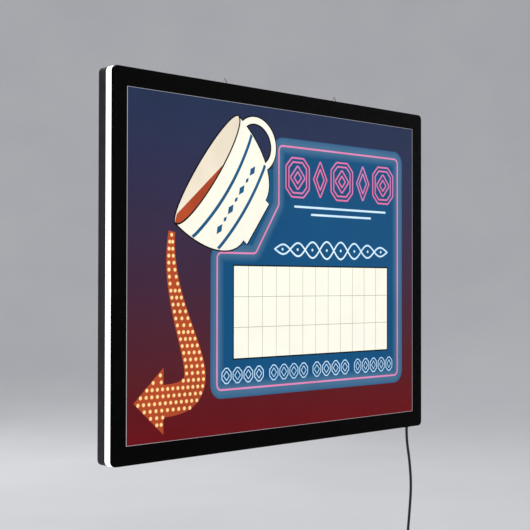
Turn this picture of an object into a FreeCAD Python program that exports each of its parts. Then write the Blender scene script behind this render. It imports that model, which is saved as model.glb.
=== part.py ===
"""LED illuminated wall sign, built as an assembly of separate pieces.

Frame: origin at the centre of the sign's rear face, in the plane of the wall.
+X is right as seen from the front, +Y points into the wall, +Z is up, so the
front of the sign faces -Y. "Depth" below is the distance in front of the wall.
"""
import FreeCAD, Part
import math
import operator
import os
import Sketcher
from FreeCAD import Placement, Rotation, Vector

# Driving dimensions: name, value (millimetres unless the note says otherwise), note.
DRIVING = [
    ("sign_width", 508.0, "overall width"),
    ("sign_height", 406.4, "overall height"),
    ("corner_radius", 6.0, "outer corner radius seen from the front"),
    ("housing_depth", 12.0, "depth of the rear tray"),
    ("halo_depth", 8.8, "depth of the glowing ring"),
    ("bezel_depth", 3.2, "depth of the front bezel"),
    ("bezel_side", 17.8, "width of the bezel's front face, left and right"),
    ("bezel_top", 19.6, "width of the bezel's front face, top and bottom"),
    ("bezel_lip", 1.2, "thickness of the bezel in front of the panel"),
    ("bezel_edge", 0.8, "rounding of the bezel's front edge"),
    ("halo_wall", 4.0, "width of the glowing ring"),
    ("halo_inner_radius", 2.0, "inner corners of the glowing ring"),
    ("housing_wall", 2.5, "side wall of the tray"),
    ("housing_floor", 2.0, "floor of the tray"),
    ("panel_overlap", 3.0, "how far the bezel covers the panel's edge"),
    ("panel_gap", 0.3, "clearance round the panel in its rebate"),
    ("diffuser_thickness", 1.0, "diffuser sheet"),
    ("guide_thickness", 6.0, "light guide"),
    ("reflector_thickness", 0.8, "reflector sheet"),
    ("rib_thickness", 1.8, "stiffening ribs"),
    ("rib_spacing_x", 140.0, "distance from the middle rib to the next ones"),
    ("rib_spacing_z", 90.0, "distance from the middle rib to the next ones"),
    ("rib_setback", 22.0, "gap between the rib ends and the outer edge"),
    ("ledge_width", 8.4, "moulded ledge under each light strip"),
    ("ledge_height", 3.0, "height of that ledge above the floor"),
    ("strip_width", 8.0, "light strip board"),
    ("strip_thickness", 0.8, "light strip board"),
    ("strip_end_gap", 1.0, "clearance between a strip's end and a post"),
    ("lamp_pitch", 16.67, "distance between neighbouring lamps"),
    ("lamp_long", 3.5, "lamp package"),
    ("lamp_wide", 2.8, "lamp package"),
    ("lamp_high", 0.7, "lamp package"),
    ("lamp_margin", 8.0, "least distance from a strip's end to a lamp"),
    ("post_radius", 4.0, "screw posts in the tray"),
    ("bezel_post_radius", 3.5, "screw posts on the bezel"),
    ("bore_skin", 1.0, "what is left in front of the bezel's screw bores"),
    ("post_inset", 36.0, "outer posts, from the sign's side edge"),
    ("hanger_spacing", 183.0, "distance between the two hanging rings"),
    ("screw_radius", 1.5, "case screw thread"),
    ("screw_length", 16.0, "case screw under its head"),
    ("screw_head_radius", 2.8, "case screw head"),
    ("screw_head_height", 2.2, "case screw head"),
    ("screw_recess", 0.6, "how far the heads lie below the rear face"),
    ("screw_play", 0.2, "radial clearance of screws and heads in the tray"),
    ("thread_play", 0.05, "radial clearance of threads in their posts"),
    ("slot_width", 0.8, "screw drive slot"),
    ("slot_length", 3.6, "screw drive slot"),
    ("notch_width", 14.0, "hanger notch in the top edge"),
    ("notch_height", 3.2, "hanger notch in the top edge"),
    ("notch_skin", 2.5, "what is left of the tray behind the notch"),
    ("notch_overrun", 1.0, "how far the notch cut runs past the top edge"),
    ("hanger_block_width", 18.0, "moulded block under the notch"),
    ("hanger_depth", 14.5, "hinge line of the rings, in front of the wall"),
    ("ring_wire", 1.3, "wire diameter of a hanging ring"),
    ("ring_base", 10.2, "ring's base along the middle of the wire"),
    ("ring_height", 9.7, "ring's height to its sharp corner"),
    ("ring_bend", 1.0, "bend radius along the middle of the wire"),
    ("ring_play", 0.05, "radial clearance of the wire in its strap"),
    ("strap_sheet", 0.75, "strap sheet metal"),
    ("strap_width", 6.5, "strap"),
    ("strap_tail_depth", 3.6, "free end of the strap, in front of the wall"),
    ("strap_screw_depth", 6.5, "strap screw, in front of the wall"),
    ("strap_screw_radius", 1.0, "strap screw thread"),
    ("strap_screw_length", 4.5, "strap screw under its head"),
    ("strap_head_radius", 1.9, "strap screw head"),
    ("strap_head_height", 1.1, "strap screw head"),
    ("cord_diameter", 3.4, "round low-voltage lead"),
    ("cord_play", 0.05, "radial clearance of the lead in the grommet"),
    ("gland_inset", 11.1, "lead outlet, from the sign's side edge"),
    ("gland_depth", 8.0, "lead outlet, in front of the wall"),
    ("gland_radius", 3.0, "grommet where it passes the wall"),
    ("gland_flange_radius", 3.7, "grommet flanges"),
    ("gland_flange", 1.2, "thickness of each grommet flange"),
    ("gland_nose", 2.2, "tapered nose below the outer flange"),
    ("gland_tip_radius", 2.3, "end of the nose"),
    ("clamp_inset_x", 31.4, "lead clamp, from the sign's side edge"),
    ("clamp_inset_z", 23.8, "lead clamp, from the bottom edge"),
    ("clamp_length", 7.0, "lead clamp along the lead"),
    ("clamp_width", 17.0, "lead clamp across the lead"),
    ("clamp_bar", 2.4, "thickness of the clamp bar over the lead's middle"),
    ("clamp_hole", 6.0, "clamp screws, from the lead"),
    ("board_length", 47.0, "input board"),
    ("board_width", 26.0, "input board"),
    ("board_thickness", 1.6, "input board"),
    ("board_standoff", 3.0, "input board above the floor"),
    ("board_post_radius", 2.7, "posts under the input board"),
    ("board_inset_x", 66.9, "middle of the board, from the side edge"),
    ("board_inset_z", 29.8, "middle of the board, from the bottom edge"),
    ("board_hole_x", 19.0, "board screws, from the middle of the board"),
    ("board_hole_z", 9.5, "board screws, from the middle of the board"),
    ("terminal_length", 8.0, "terminal block"),
    ("terminal_width", 10.0, "terminal block"),
    ("terminal_height", 5.4, "terminal block"),
    ("terminal_inset", 1.0, "terminal block, from the board's edge"),
    ("well_radius", 1.3, "terminal screw well"),
    ("well_depth", 1.8, "terminal screw well"),
    ("core_radius", 0.65, "insulated cores and jumper leads"),
    ("core_pitch", 5.0, "distance between the two terminals"),
    ("core_end", 1.5, "straight end of a core"),
    ("core_shift", 6.0, "cores to the strip, from the middle of the board"),
    ("core_gap", 6.0, "distance between those two cores"),
    ("core_lap", 3.0, "how far those cores reach onto the board"),
    ("core_edge", 0.4, "where those cores turn, from the edges they pass"),
    ("lamp_clearance", 0.5, "least distance from a core's end to a lamp"),
    ("jacket_end", 3.0, "lead jacket beyond the clamp"),
    ("lead_corner", 10.5, "inner lead's corner between the grommet and the clamp"),
    ("jumper_lap", 4.0, "how far a jumper reaches onto a strip"),
    ("jumper_offset", 1.6, "jumper from a strip's middle line, and from a post"),
    ("corner_lap", 3.0, "how far a corner jumper reaches onto a strip"),
    ("corner_drop", 2.2, "corner jumper from the posts' inner side"),
    ("corner_cut", 9.0, "where a corner jumper turns, from the side strip's middle"),
    ("label_width", 70.0, "blank rating label"),
    ("label_height", 38.0, "blank rating label"),
    ("label_thickness", 0.3, "blank rating label"),
    ("label_drop", 60.0, "middle of the label below the middle of the sign"),
    ("label_play", 0.2, "clearance round the label"),
    ("label_setback", 0.1, "how far the label lies below the rear face"),
    ("vent_width", 2.0, "vent slot"),
    ("vent_height", 22.0, "vent slot"),
    ("vent_pitch", 7.0, "distance between vent slots"),
    ("vent_count", 7, "number of vent slots"),
    ("vent_x", 170.0, "first vent slot from the middle of the sign"),
    ("vent_drop", 130.0, "middle of the vents below the middle of the sign"),
    ("coil_radius", 19.0, "lead coil, to the middle of its turns"),
    ("coil_section", 14.2, "lead coil, side of its section"),
    ("coil_round", 4.0, "lead coil, rounding of its section"),
    ("coil_x", 225.3, "middle of the coil"),
    ("coil_depth", 9.0, "middle of the coil, in front of the wall"),
    ("coil_drop", 378.0, "middle of the coil below the middle of the sign"),
    ("tie_thickness", 1.2, "coil tie"),
    ("tie_angle", 26.0, "coil tie along the coil, degrees"),
    ("adapter_width", 40.0, "wall adapter"),
    ("adapter_thick", 22.0, "wall adapter"),
    ("adapter_height", 48.0, "wall adapter with its end plate"),
    ("adapter_round", 4.0, "wall adapter, upright edges"),
    ("adapter_wall", 2.0, "wall adapter"),
    ("adapter_plate", 3.0, "end plate that holds the blades"),
    ("adapter_depth", 12.0, "middle of the adapter, in front of the wall"),
    ("adapter_drop", 448.0, "top of the adapter below the middle of the sign"),
    ("relief_length", 12.0, "tapered lead exit on the adapter"),
    ("relief_radius", 4.2, "its wide end"),
    ("relief_tip_radius", 2.4, "its narrow end"),
    ("relief_base", 2.0, "its straight part"),
    ("blade_length", 17.5, "plug blade outside the plate"),
    ("blade_width", 6.35, "plug blade"),
    ("blade_thickness", 1.52, "plug blade"),
    ("blade_pitch", 12.7, "distance between the blades"),
    ("blade_hole", 1.6, "radius of the hole in each blade"),
    ("blade_hole_up", 4.5, "that hole, from the blade's tip"),
    ("adapter_board_gap", 1.2, "board in the adapter, from the case's rear wall"),
    ("adapter_board_play", 1.0, "board in the adapter, from its side walls"),
    ("transformer_x", 6.0, "left of the middle of the adapter"),
    ("transformer_up", 18.0, "above the plate's ribs"),
    ("transformer_width", 16.0, "transformer"),
    ("transformer_depth", 11.0, "transformer"),
    ("transformer_height", 15.0, "transformer"),
    ("capacitor_x", 10.0, "right of the middle of the adapter"),
    ("capacitor_up", 14.0, "above the plate's ribs"),
    ("capacitor_radius", 3.7, "capacitor"),
    ("capacitor_length", 11.0, "capacitor"),
]

OPERATIONS = {"+": operator.add, "-": operator.sub, "*": operator.mul, "/": operator.truediv}

# Routes of the free lead, chosen by hand: X, Y, Z of each point.
CORD_ROUTE = [
    (242.9, -8.0, -206.6),
    (242.9, -8.0, -223.0),
    (249.2, -8.1, -250.0),
    (253.0, -8.0, -284.0),
    (251.0, -6.6, -318.0),
    (249.7, -4.3, -350.0),
    (249.5, -3.8, -376.0),
]
TAIL_ROUTE = [
    (242.6, -14.2, -380.0),
    (242.2, -14.0, -394.0),
    (234.5, -12.8, -408.0),
    (225.3, -12.0, -422.0),
    (225.3, -12.0, -436.0),
]
BEND_SHARE = 0.45       # of the shorter run beside a corner
CORE_BEND_SHARE = 0.3
VOLUME_TOLERANCE = 0.01
EXACT = 1e-6


class Size:
    """A length together with the sheet expression that gives it."""

    def __init__(self, text, value):
        self.text = text
        self.value = float(value)

    def __neg__(self):
        return Size("(0 - %s)" % self.text, -self.value)

    def __add__(self, other):
        return combine(self, "+", other)

    def __radd__(self, other):
        return combine(other, "+", self)

    def __sub__(self, other):
        return combine(self, "-", other)

    def __rsub__(self, other):
        return combine(other, "-", self)

    def __mul__(self, other):
        return combine(self, "*", other)

    def __rmul__(self, other):
        return combine(other, "*", self)

    def __truediv__(self, other):
        return combine(self, "/", other)


def as_size(thing):
    if isinstance(thing, Size):
        return thing
    return Size("%.6g" % thing if thing >= 0 else "(0 - %.6g)" % -thing, thing)


def combine(first, sign, second):
    first = as_size(first)
    second = as_size(second)
    value = OPERATIONS[sign](first.value, second.value)
    return Size("(%s %s %s)" % (first.text, sign, second.text), value)


class Sheet:
    """The driving dimensions, each read as a Size through its alias."""

    def __init__(self, doc):
        self.cells = doc.addObject("Spreadsheet::Sheet", "Sizes")
        for row, (name, value, note) in enumerate(DRIVING, start=1):
            self.cells.set("A%d" % row, name)
            self.cells.set("B%d" % row, str(value))
            self.cells.set("C%d" % row, note)
            self.cells.setAlias("B%d" % row, name)
        doc.recompute()

    def __getattr__(self, name):
        return Size("Sizes." + name, self.cells.get(name))


doc = FreeCAD.newDocument("illuminated_sign")
S = Sheet(doc)
parts = []

# Depths of the layers, from the wall to the front.
half_width = S.sign_width / 2
half_height = S.sign_height / 2
halo_front = S.housing_depth + S.halo_depth
sign_depth = halo_front + S.bezel_depth
panel_front = sign_depth - S.bezel_lip
panel_thickness = panel_front - halo_front
diffuser_rear = halo_front - S.diffuser_thickness
guide_rear = diffuser_rear - S.guide_thickness
reflector_rear = guide_rear - S.reflector_thickness
ledge_top = S.housing_floor + S.ledge_height
strip_front = ledge_top + S.strip_thickness
head_rear = S.screw_recess
head_front = head_rear + S.screw_head_height

# Sizes across the sign. The channel between the ring and the panel holds the lights.
opening_width = S.sign_width - S.bezel_side * 2
opening_height = S.sign_height - S.bezel_top * 2
panel_width = opening_width + S.panel_overlap * 2
panel_height = opening_height + S.panel_overlap * 2
channel_x = (half_width - S.halo_wall + panel_width / 2) / 2
channel_z = (half_height - S.halo_wall + panel_height / 2) / 2
post_x = half_width - S.post_inset
hanger_x = S.hanger_spacing / 2
gland_x = half_width - S.gland_inset
clamp_x = half_width - S.clamp_inset_x
clamp_z = S.clamp_inset_z - half_height
clamp_top = S.gland_depth
board_x = half_width - S.board_inset_x
board_z = S.board_inset_z - half_height
board_rear = S.housing_floor + S.board_standoff
board_front = board_rear + S.board_thickness
terminal_x = board_x + S.board_length / 2 - S.terminal_length / 2 - S.terminal_inset
terminal_z = clamp_z
notch_bottom = half_height - S.notch_height
strap_radius = S.ring_wire / 2 + S.ring_play + S.strap_sheet
hinge_z = notch_bottom + strap_radius + S.ring_play
cord_radius = S.cord_diameter / 2

# Screw posts, as (x, z): four along the top and the bottom, one at each side.
POSTS = [(x, z) for z in (channel_z, -channel_z)
         for x in (-post_x, -hanger_x, hanger_x, post_x)]
POSTS += [(-channel_x, as_size(0)), (channel_x, as_size(0))]


# ---- helpers -------------------------------------------------------------

def bind(thing, path, size):
    thing.setExpression(path, as_size(size).text)


def keep(thing):
    """Add an object to the sub-parts that are written out."""
    parts.append(thing)
    return thing


def new_body(label, several=False):
    body = doc.addObject("PartDesign::Body", label)
    body.Label = label
    body.AllowCompound = several
    return keep(body)


def sketch_on(body, name, role, offset=0, across=0, up=0):
    """Sketch on an origin plane of its body, moved along the plane's normal and in it."""
    sketch = body.newObject("Sketcher::SketchObject", body.Label + "_" + name)
    plane = [item for item in body.Origin.OriginFeatures if item.Role == role][0]
    sketch.AttachmentSupport = [(plane, "")]
    sketch.MapMode = "FlatFace"
    bind(sketch, "AttachmentOffset.Base.x", across)
    bind(sketch, "AttachmentOffset.Base.y", up)
    bind(sketch, "AttachmentOffset.Base.z", offset)
    return sketch


def constrain(sketch, kind, where, size):
    """Add a dimension to a sketch and bind it to its expression."""
    size = as_size(size)
    number = sketch.addConstraint(Sketcher.Constraint(kind, *where, size.value))
    bind(sketch, "Constraints[%d]" % number, size)


def circle(sketch, x, y, radius):
    x = as_size(x)
    y = as_size(y)
    radius = as_size(radius)
    centre = Vector(x.value, y.value, 0)
    number = sketch.addGeometry(Part.Circle(centre, Vector(0, 0, 1), radius.value), False)
    constrain(sketch, "DistanceX", (-1, 1, number, 3), x)
    constrain(sketch, "DistanceY", (-1, 1, number, 3), y)
    constrain(sketch, "Radius", (number,), radius)


def polygon(sketch, corners):
    """Closed outline of straight lines; every corner is bound to its two sizes."""
    points = [Vector(as_size(x).value, as_size(y).value, 0) for x, y in corners]
    count = len(points)
    first = sketch.GeometryCount
    for index in range(count):
        line = Part.LineSegment(points[index], points[(index + 1) % count])
        sketch.addGeometry(line, False)
    for index in range(count):
        after = first + (index + 1) % count
        sketch.addConstraint(Sketcher.Constraint("Coincident", first + index, 2, after, 1))
    for index, (x, y) in enumerate(corners):
        constrain(sketch, "DistanceX", (-1, 1, first + index, 1), x)
        constrain(sketch, "DistanceY", (-1, 1, first + index, 1), y)


def rectangle(sketch, x, y, width, height):
    """Rectangle given by its middle and its two sides."""
    left = x - width / 2
    right = x + width / 2
    low = y - height / 2
    high = y + height / 2
    polygon(sketch, [(left, low), (right, low), (right, high), (left, high)])


def rounded_rectangle(sketch, width, height, radius, x=0, y=0):
    """Rectangle with four equal tangent corner arcs."""
    left = as_size(x) - width / 2
    low = as_size(y) - height / 2
    x0 = left.value
    y0 = low.value
    x1 = x0 + width.value
    y1 = y0 + height.value
    r = radius.value
    first = sketch.GeometryCount
    sides = [((x0 + r, y0), (x1 - r, y0)), ((x1, y0 + r), (x1, y1 - r)),
             ((x1 - r, y1), (x0 + r, y1)), ((x0, y1 - r), (x0, y0 + r))]
    for start, end in sides:
        sketch.addGeometry(Part.LineSegment(Vector(*start, 0), Vector(*end, 0)), False)
    centres = [(x1 - r, y0 + r, -90), (x1 - r, y1 - r, 0), (x0 + r, y1 - r, 90), (x0 + r, y0 + r, 180)]
    for cx, cy, start in centres:
        whole = Part.Circle(Vector(cx, cy, 0), Vector(0, 0, 1), r)
        arc = Part.ArcOfCircle(whole, math.radians(start), math.radians(start + 90))
        sketch.addGeometry(arc, False)
    for side in range(4):
        line = first + side
        arc = first + 4 + side
        following = first + (side + 1) % 4
        sketch.addConstraint(Sketcher.Constraint("Tangent", line, 2, arc, 1))
        sketch.addConstraint(Sketcher.Constraint("Tangent", arc, 2, following, 1))
        sketch.addConstraint(Sketcher.Constraint("Horizontal" if side % 2 == 0 else "Vertical", line))
    for other in (5, 6, 7):
        sketch.addConstraint(Sketcher.Constraint("Equal", first + 4, first + other))
    constrain(sketch, "Radius", (first + 4,), radius)
    constrain(sketch, "DistanceX", (first + 3, 1, first + 1, 1), width)
    constrain(sketch, "DistanceY", (first, 1, first + 2, 1), height)
    constrain(sketch, "DistanceX", (-1, 1, first + 3, 1), left)
    constrain(sketch, "DistanceY", (-1, 1, first, 1), low)


def pad(body, name, sketch, length):
    feature = body.newObject("PartDesign::Pad", body.Label + "_" + name)
    feature.Profile = sketch
    bind(feature, "Length", length)
    sketch.Visibility = False
    doc.recompute()
    return feature


def pocket(body, name, sketch, length, forward=False):
    """Cut against the sketch's normal, or along it; it has to take something away."""
    before = body.Shape.Volume
    feature = body.newObject("PartDesign::Pocket", body.Label + "_" + name)
    feature.Profile = sketch
    feature.Reversed = forward
    bind(feature, "Length", length)
    doc.recompute()
    if not feature.Shape.Volume < before - EXACT:
        raise ValueError(feature.Name + " cuts nothing")
    return feature


def block(label, x, rear, z, width, depth, height):
    """Box centred on x and z whose rear face is a given depth in front of the wall."""
    box = doc.addObject("Part::Box", label)
    box.Label = label
    bind(box, "Length", width)
    bind(box, "Width", depth)
    bind(box, "Height", height)
    bind(box, "Placement.Base.x", as_size(x) - as_size(width) / 2)
    bind(box, "Placement.Base.y", -(as_size(rear) + depth))
    bind(box, "Placement.Base.z", as_size(z) - as_size(height) / 2)
    return box


def group(label, members):
    """One sub-part made of several loose solids."""
    compound = doc.addObject("Part::Compound", label)
    compound.Label = label
    compound.Links = members
    return keep(compound)


def feature_of(label, shape):
    """Sub-part whose shape is computed here from the sheet's values."""
    feature = doc.addObject("Part::Feature", label)
    feature.Label = label
    feature.Shape = shape
    feature.Placement = Placement()
    return keep(feature)


def bent_path(points, share=BEND_SHARE):
    """Straight runs joined by tangent arcs; returns the wire and the arcs' radii."""
    points = [Vector(*point) for point in points]
    edges = []
    radii = []
    start = points[0]
    for before, corner, after in zip(points, points[1:], points[2:]):
        inward = (before - corner).normalize()
        outward = (after - corner).normalize()
        half_turn = (math.pi - inward.getAngle(outward)) / 2
        cut = share * min((before - corner).Length, (after - corner).Length)
        radius = cut / math.tan(half_turn)
        first = corner + inward * cut
        last = corner + outward * cut
        bisector = (inward + outward).normalize()
        middle = corner + bisector * (radius / math.cos(half_turn) - radius)
        edges.append(Part.LineSegment(start, first).toShape())
        edges.append(Part.Arc(first, middle, last).toShape())
        radii.append(radius)
        start = last
    edges.append(Part.LineSegment(start, points[-1]).toShape())
    return Part.Wire(edges), radii


def tube(points, radius, share=BEND_SHARE):
    """Round bar along a bent path, with its volume compared with section times length."""
    path, radii = bent_path(points, share)
    start = Vector(*points[0])
    direction = Vector(*points[1]) - start
    section = Part.Wire([Part.makeCircle(radius, start, direction)])
    solid = path.makePipeShell([section], True, False)
    expected = math.pi * radius ** 2 * path.Length
    if abs(solid.Volume / expected - 1) > VOLUME_TOLERANCE:
        raise ValueError("a tube's volume does not match its path")
    return solid, radii, path.Length


# ---- front ---------------------------------------------------------------

def front_bezel():
    body = new_body("front_bezel")
    outline = sketch_on(body, "outline", "XZ_Plane", halo_front)
    rounded_rectangle(outline, S.sign_width, S.sign_height, S.corner_radius)
    pad(body, "plate", outline, S.bezel_depth)
    window = sketch_on(body, "window", "XZ_Plane", sign_depth)
    rectangle(window, as_size(0), as_size(0), opening_width, opening_height)
    pocket(body, "opening", window, S.bezel_depth)
    rebate = sketch_on(body, "rebate", "XZ_Plane", halo_front)
    rectangle(rebate, as_size(0), as_size(0),
              panel_width + S.panel_gap * 2, panel_height + S.panel_gap * 2)
    pocket(body, "panel_rebate", rebate, panel_thickness, forward=True)
    posts = sketch_on(body, "posts", "XZ_Plane", S.housing_depth)
    for x, z in POSTS:
        circle(posts, x, z, S.bezel_post_radius)
    pad(body, "screw_posts", posts, S.halo_depth)
    bores = sketch_on(body, "bores", "XZ_Plane", S.housing_depth)
    for x, z in POSTS:
        circle(bores, x, z, S.screw_radius + S.thread_play)
    pocket(body, "screw_bores", bores, S.halo_depth - S.bore_skin, forward=True)
    soften_front_edge(body)


def soften_front_edge(body):
    """Round the outer edge of the front face."""
    base = body.Tip
    shape = base.Shape
    front = min(shape.Faces, key=lambda face: (round(face.CenterOfMass.y, 3), -face.Area))
    outer = front.OuterWire.Edges
    names = ["Edge%d" % (number + 1) for number, edge in enumerate(shape.Edges)
             if any(edge.isSame(other) for other in outer)]
    fillet = body.newObject("PartDesign::Fillet", "front_bezel_edge")
    fillet.Base = (base, names)
    bind(fillet, "Radius", S.bezel_edge)
    doc.recompute()


def panel_stack():
    """The printed panel and the sheets behind it."""
    layers = [
        ("front_panel", halo_front, panel_thickness),
        ("diffuser_sheet", diffuser_rear, S.diffuser_thickness),
        ("light_guide", guide_rear, S.guide_thickness),
        ("reflector_sheet", reflector_rear, S.reflector_thickness),
    ]
    for label, rear, thickness in layers:
        keep(block(label, 0, rear, 0, panel_width, thickness, panel_height))


def halo_ring():
    body = new_body("halo_ring")
    outline = sketch_on(body, "outline", "XZ_Plane", S.housing_depth)
    rounded_rectangle(outline, S.sign_width, S.sign_height, S.corner_radius)
    pad(body, "slab", outline, S.halo_depth)
    inside = sketch_on(body, "inside", "XZ_Plane", halo_front)
    rounded_rectangle(inside, S.sign_width - S.halo_wall * 2, S.sign_height - S.halo_wall * 2,
                      S.halo_inner_radius)
    pocket(body, "opening", inside, S.halo_depth)
    notches = sketch_on(body, "notches", "XZ_Plane", halo_front)
    hanger_notches(notches)
    pocket(body, "hanger_notches", notches, S.halo_depth)


def hanger_notches(sketch):
    """The two notches in the top edge, cut alike in the ring and the tray."""
    height = S.notch_height + S.notch_overrun
    for x in (-hanger_x, hanger_x):
        rectangle(sketch, x, notch_bottom + height / 2, S.notch_width, height)


# ---- rear tray -------------------------------------------------------------

def rear_housing():
    body = new_body("rear_housing")
    outline = sketch_on(body, "outline", "XZ_Plane")
    rounded_rectangle(outline, S.sign_width, S.sign_height, S.corner_radius)
    pad(body, "slab", outline, S.housing_depth)
    cavity = sketch_on(body, "cavity", "XZ_Plane", S.housing_depth)
    rounded_rectangle(cavity, S.sign_width - S.housing_wall * 2,
                      S.sign_height - S.housing_wall * 2, S.corner_radius - S.housing_wall)
    inner_depth = S.housing_depth - S.housing_floor
    pocket(body, "tray_cavity", cavity, inner_depth)
    housing_ledge(body)
    housing_ribs(body)
    posts = sketch_on(body, "posts", "XZ_Plane", S.housing_floor)
    for x, z in POSTS:
        circle(posts, x, z, S.post_radius)
    pad(body, "screw_posts", posts, inner_depth)
    housing_hanger_blocks(body, inner_depth)
    housing_board_posts(body)
    housing_cradle(body)
    housing_rear_cuts(body)
    housing_outlet(body)
    housing_vents(body)


def housing_ledge(body):
    """Raised ring that the light strips lie on."""
    ledge = sketch_on(body, "ledge", "XZ_Plane", S.housing_floor)
    for grow in (S.ledge_width, -S.ledge_width):
        rectangle(ledge, as_size(0), as_size(0), channel_x * 2 + grow, channel_z * 2 + grow)
    pad(body, "strip_ledge", ledge, S.ledge_height)


def housing_ribs(body):
    """Ribs that carry the reflector, light guide and panel."""
    height = reflector_rear - S.housing_floor
    along = sketch_on(body, "ribs_along", "XZ_Plane", S.housing_floor)
    span_x = S.sign_width - S.rib_setback * 2
    for z in (-S.rib_spacing_z, as_size(0), S.rib_spacing_z):
        rectangle(along, as_size(0), z, span_x, S.rib_thickness)
    pad(body, "ribs_along", along, height)
    across = sketch_on(body, "ribs_across", "XZ_Plane", S.housing_floor)
    span_z = S.sign_height - S.rib_setback * 2
    for x in (-S.rib_spacing_x, as_size(0), S.rib_spacing_x):
        rectangle(across, x, as_size(0), S.rib_thickness, span_z)
    pad(body, "ribs_across", across, height)


def housing_hanger_blocks(body, inner_depth):
    """Solid blocks in the top channel that take the strap screws."""
    low = channel_z - S.post_radius
    high = half_height - S.housing_wall / 2
    blocks = sketch_on(body, "blocks", "XZ_Plane", S.housing_floor)
    for x in (-hanger_x, hanger_x):
        rectangle(blocks, x, (low + high) / 2, S.hanger_block_width, high - low)
    pad(body, "hanger_blocks", blocks, inner_depth)
    notches = sketch_on(body, "notches", "XZ_Plane", S.housing_depth)
    hanger_notches(notches)
    pocket(body, "hanger_notches", notches, S.housing_depth - S.notch_skin)
    holes = sketch_on(body, "strap_holes", "XY_Plane", half_height)
    for x in (-hanger_x, hanger_x):
        circle(holes, x, -S.strap_screw_depth, S.strap_screw_radius + S.thread_play)
    pocket(body, "strap_screw_holes", holes, S.notch_height + S.strap_screw_length)


def housing_board_posts(body):
    posts = sketch_on(body, "board_posts", "XZ_Plane", S.housing_floor)
    for x, z in board_holes():
        circle(posts, x, z, S.board_post_radius)
    pad(body, "board_posts", posts, S.board_standoff)
    bores = sketch_on(body, "board_bores", "XZ_Plane", board_rear)
    for x, z in board_holes():
        circle(bores, x, z, S.strap_screw_radius + S.thread_play)
    pocket(body, "board_bores", bores, S.board_standoff)


def board_holes():
    return [(board_x - S.board_hole_x, board_z + S.board_hole_z),
            (board_x + S.board_hole_x, board_z + S.board_hole_z)]


def clamp_holes():
    return [(clamp_x, clamp_z - S.clamp_hole), (clamp_x, clamp_z + S.clamp_hole)]


def housing_cradle(body):
    """Block with a half-round groove that the lead lies in."""
    cradle = sketch_on(body, "cradle", "XZ_Plane", S.housing_floor)
    rectangle(cradle, clamp_x, clamp_z, S.clamp_length, S.clamp_width)
    pad(body, "lead_cradle", cradle, clamp_top - S.housing_floor)
    groove = sketch_on(body, "groove", "YZ_Plane", clamp_x + S.clamp_length)
    circle(groove, -clamp_top, clamp_z, cord_radius + S.cord_play)
    pocket(body, "lead_groove", groove, S.clamp_length * 2)
    bores = sketch_on(body, "clamp_bores", "XZ_Plane", clamp_top)
    for x, z in clamp_holes():
        circle(bores, x, z, S.strap_screw_radius + S.thread_play)
    pocket(body, "clamp_bores", bores, S.strap_screw_length)


def housing_rear_cuts(body):
    """Screw holes with their head recesses, and the label's recess."""
    recesses = sketch_on(body, "head_recesses", "XZ_Plane")
    for x, z in POSTS:
        circle(recesses, x, z, S.screw_head_radius + S.screw_play)
    pocket(body, "head_recesses", recesses, head_front, forward=True)
    holes = sketch_on(body, "screw_holes", "XZ_Plane")
    for x, z in POSTS:
        circle(holes, x, z, S.screw_radius + S.screw_play)
    pocket(body, "screw_holes", holes, S.housing_depth, forward=True)
    label = sketch_on(body, "label", "XZ_Plane")
    rectangle(label, as_size(0), -S.label_drop,
              S.label_width + S.label_play * 2, S.label_height + S.label_play * 2)
    pocket(body, "label_recess", label, S.label_thickness + S.label_setback, forward=True)


def housing_outlet(body):
    """Hole in the bottom wall for the grommet."""
    hole = sketch_on(body, "outlet", "XY_Plane", -half_height)
    circle(hole, gland_x, -S.gland_depth, S.gland_radius)
    pocket(body, "lead_outlet", hole, S.housing_wall, forward=True)


def housing_vents(body):
    slot = sketch_on(body, "vent", "XZ_Plane")
    rectangle(slot, -S.vent_x, -S.vent_drop, S.vent_width, S.vent_height)
    cut = pocket(body, "vent_slot", slot, S.housing_floor, forward=True)
    before = cut.Shape.Volume
    row = body.newObject("PartDesign::LinearPattern", "rear_housing_vent_row")
    row.Originals = [cut]
    row.Direction = (slot, ["H_Axis"])
    bind(row, "Length", S.vent_pitch * (S.vent_count - 1))
    bind(row, "Occurrences", S.vent_count)
    body.Tip = row
    doc.recompute()
    if not row.Shape.Volume < before - EXACT:
        raise ValueError("the vent row cuts nothing")


def housing_screws():
    body = new_body("housing_screws", several=True)
    heads = sketch_on(body, "heads", "XZ_Plane", head_rear)
    for x, z in POSTS:
        circle(heads, x, z, S.screw_head_radius)
    pad(body, "heads", heads, S.screw_head_height)
    shanks = sketch_on(body, "shanks", "XZ_Plane", head_front)
    for x, z in POSTS:
        circle(shanks, x, z, S.screw_radius)
    pad(body, "shanks", shanks, S.screw_length)
    for direction in ("across", "upright"):
        slots = sketch_on(body, direction, "XZ_Plane", head_rear)
        for x, z in POSTS:
            if direction == "across":
                rectangle(slots, x, z, S.slot_length, S.slot_width)
            else:
                rectangle(slots, x, z, S.slot_width, S.slot_length)
        pocket(body, direction + "_slots", slots, S.screw_head_height / 2, forward=True)


def rating_label():
    keep(block("rating_label", 0, S.label_setback, -S.label_drop, S.label_width,
               S.label_thickness, S.label_height))


# ---- lights ----------------------------------------------------------------

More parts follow.
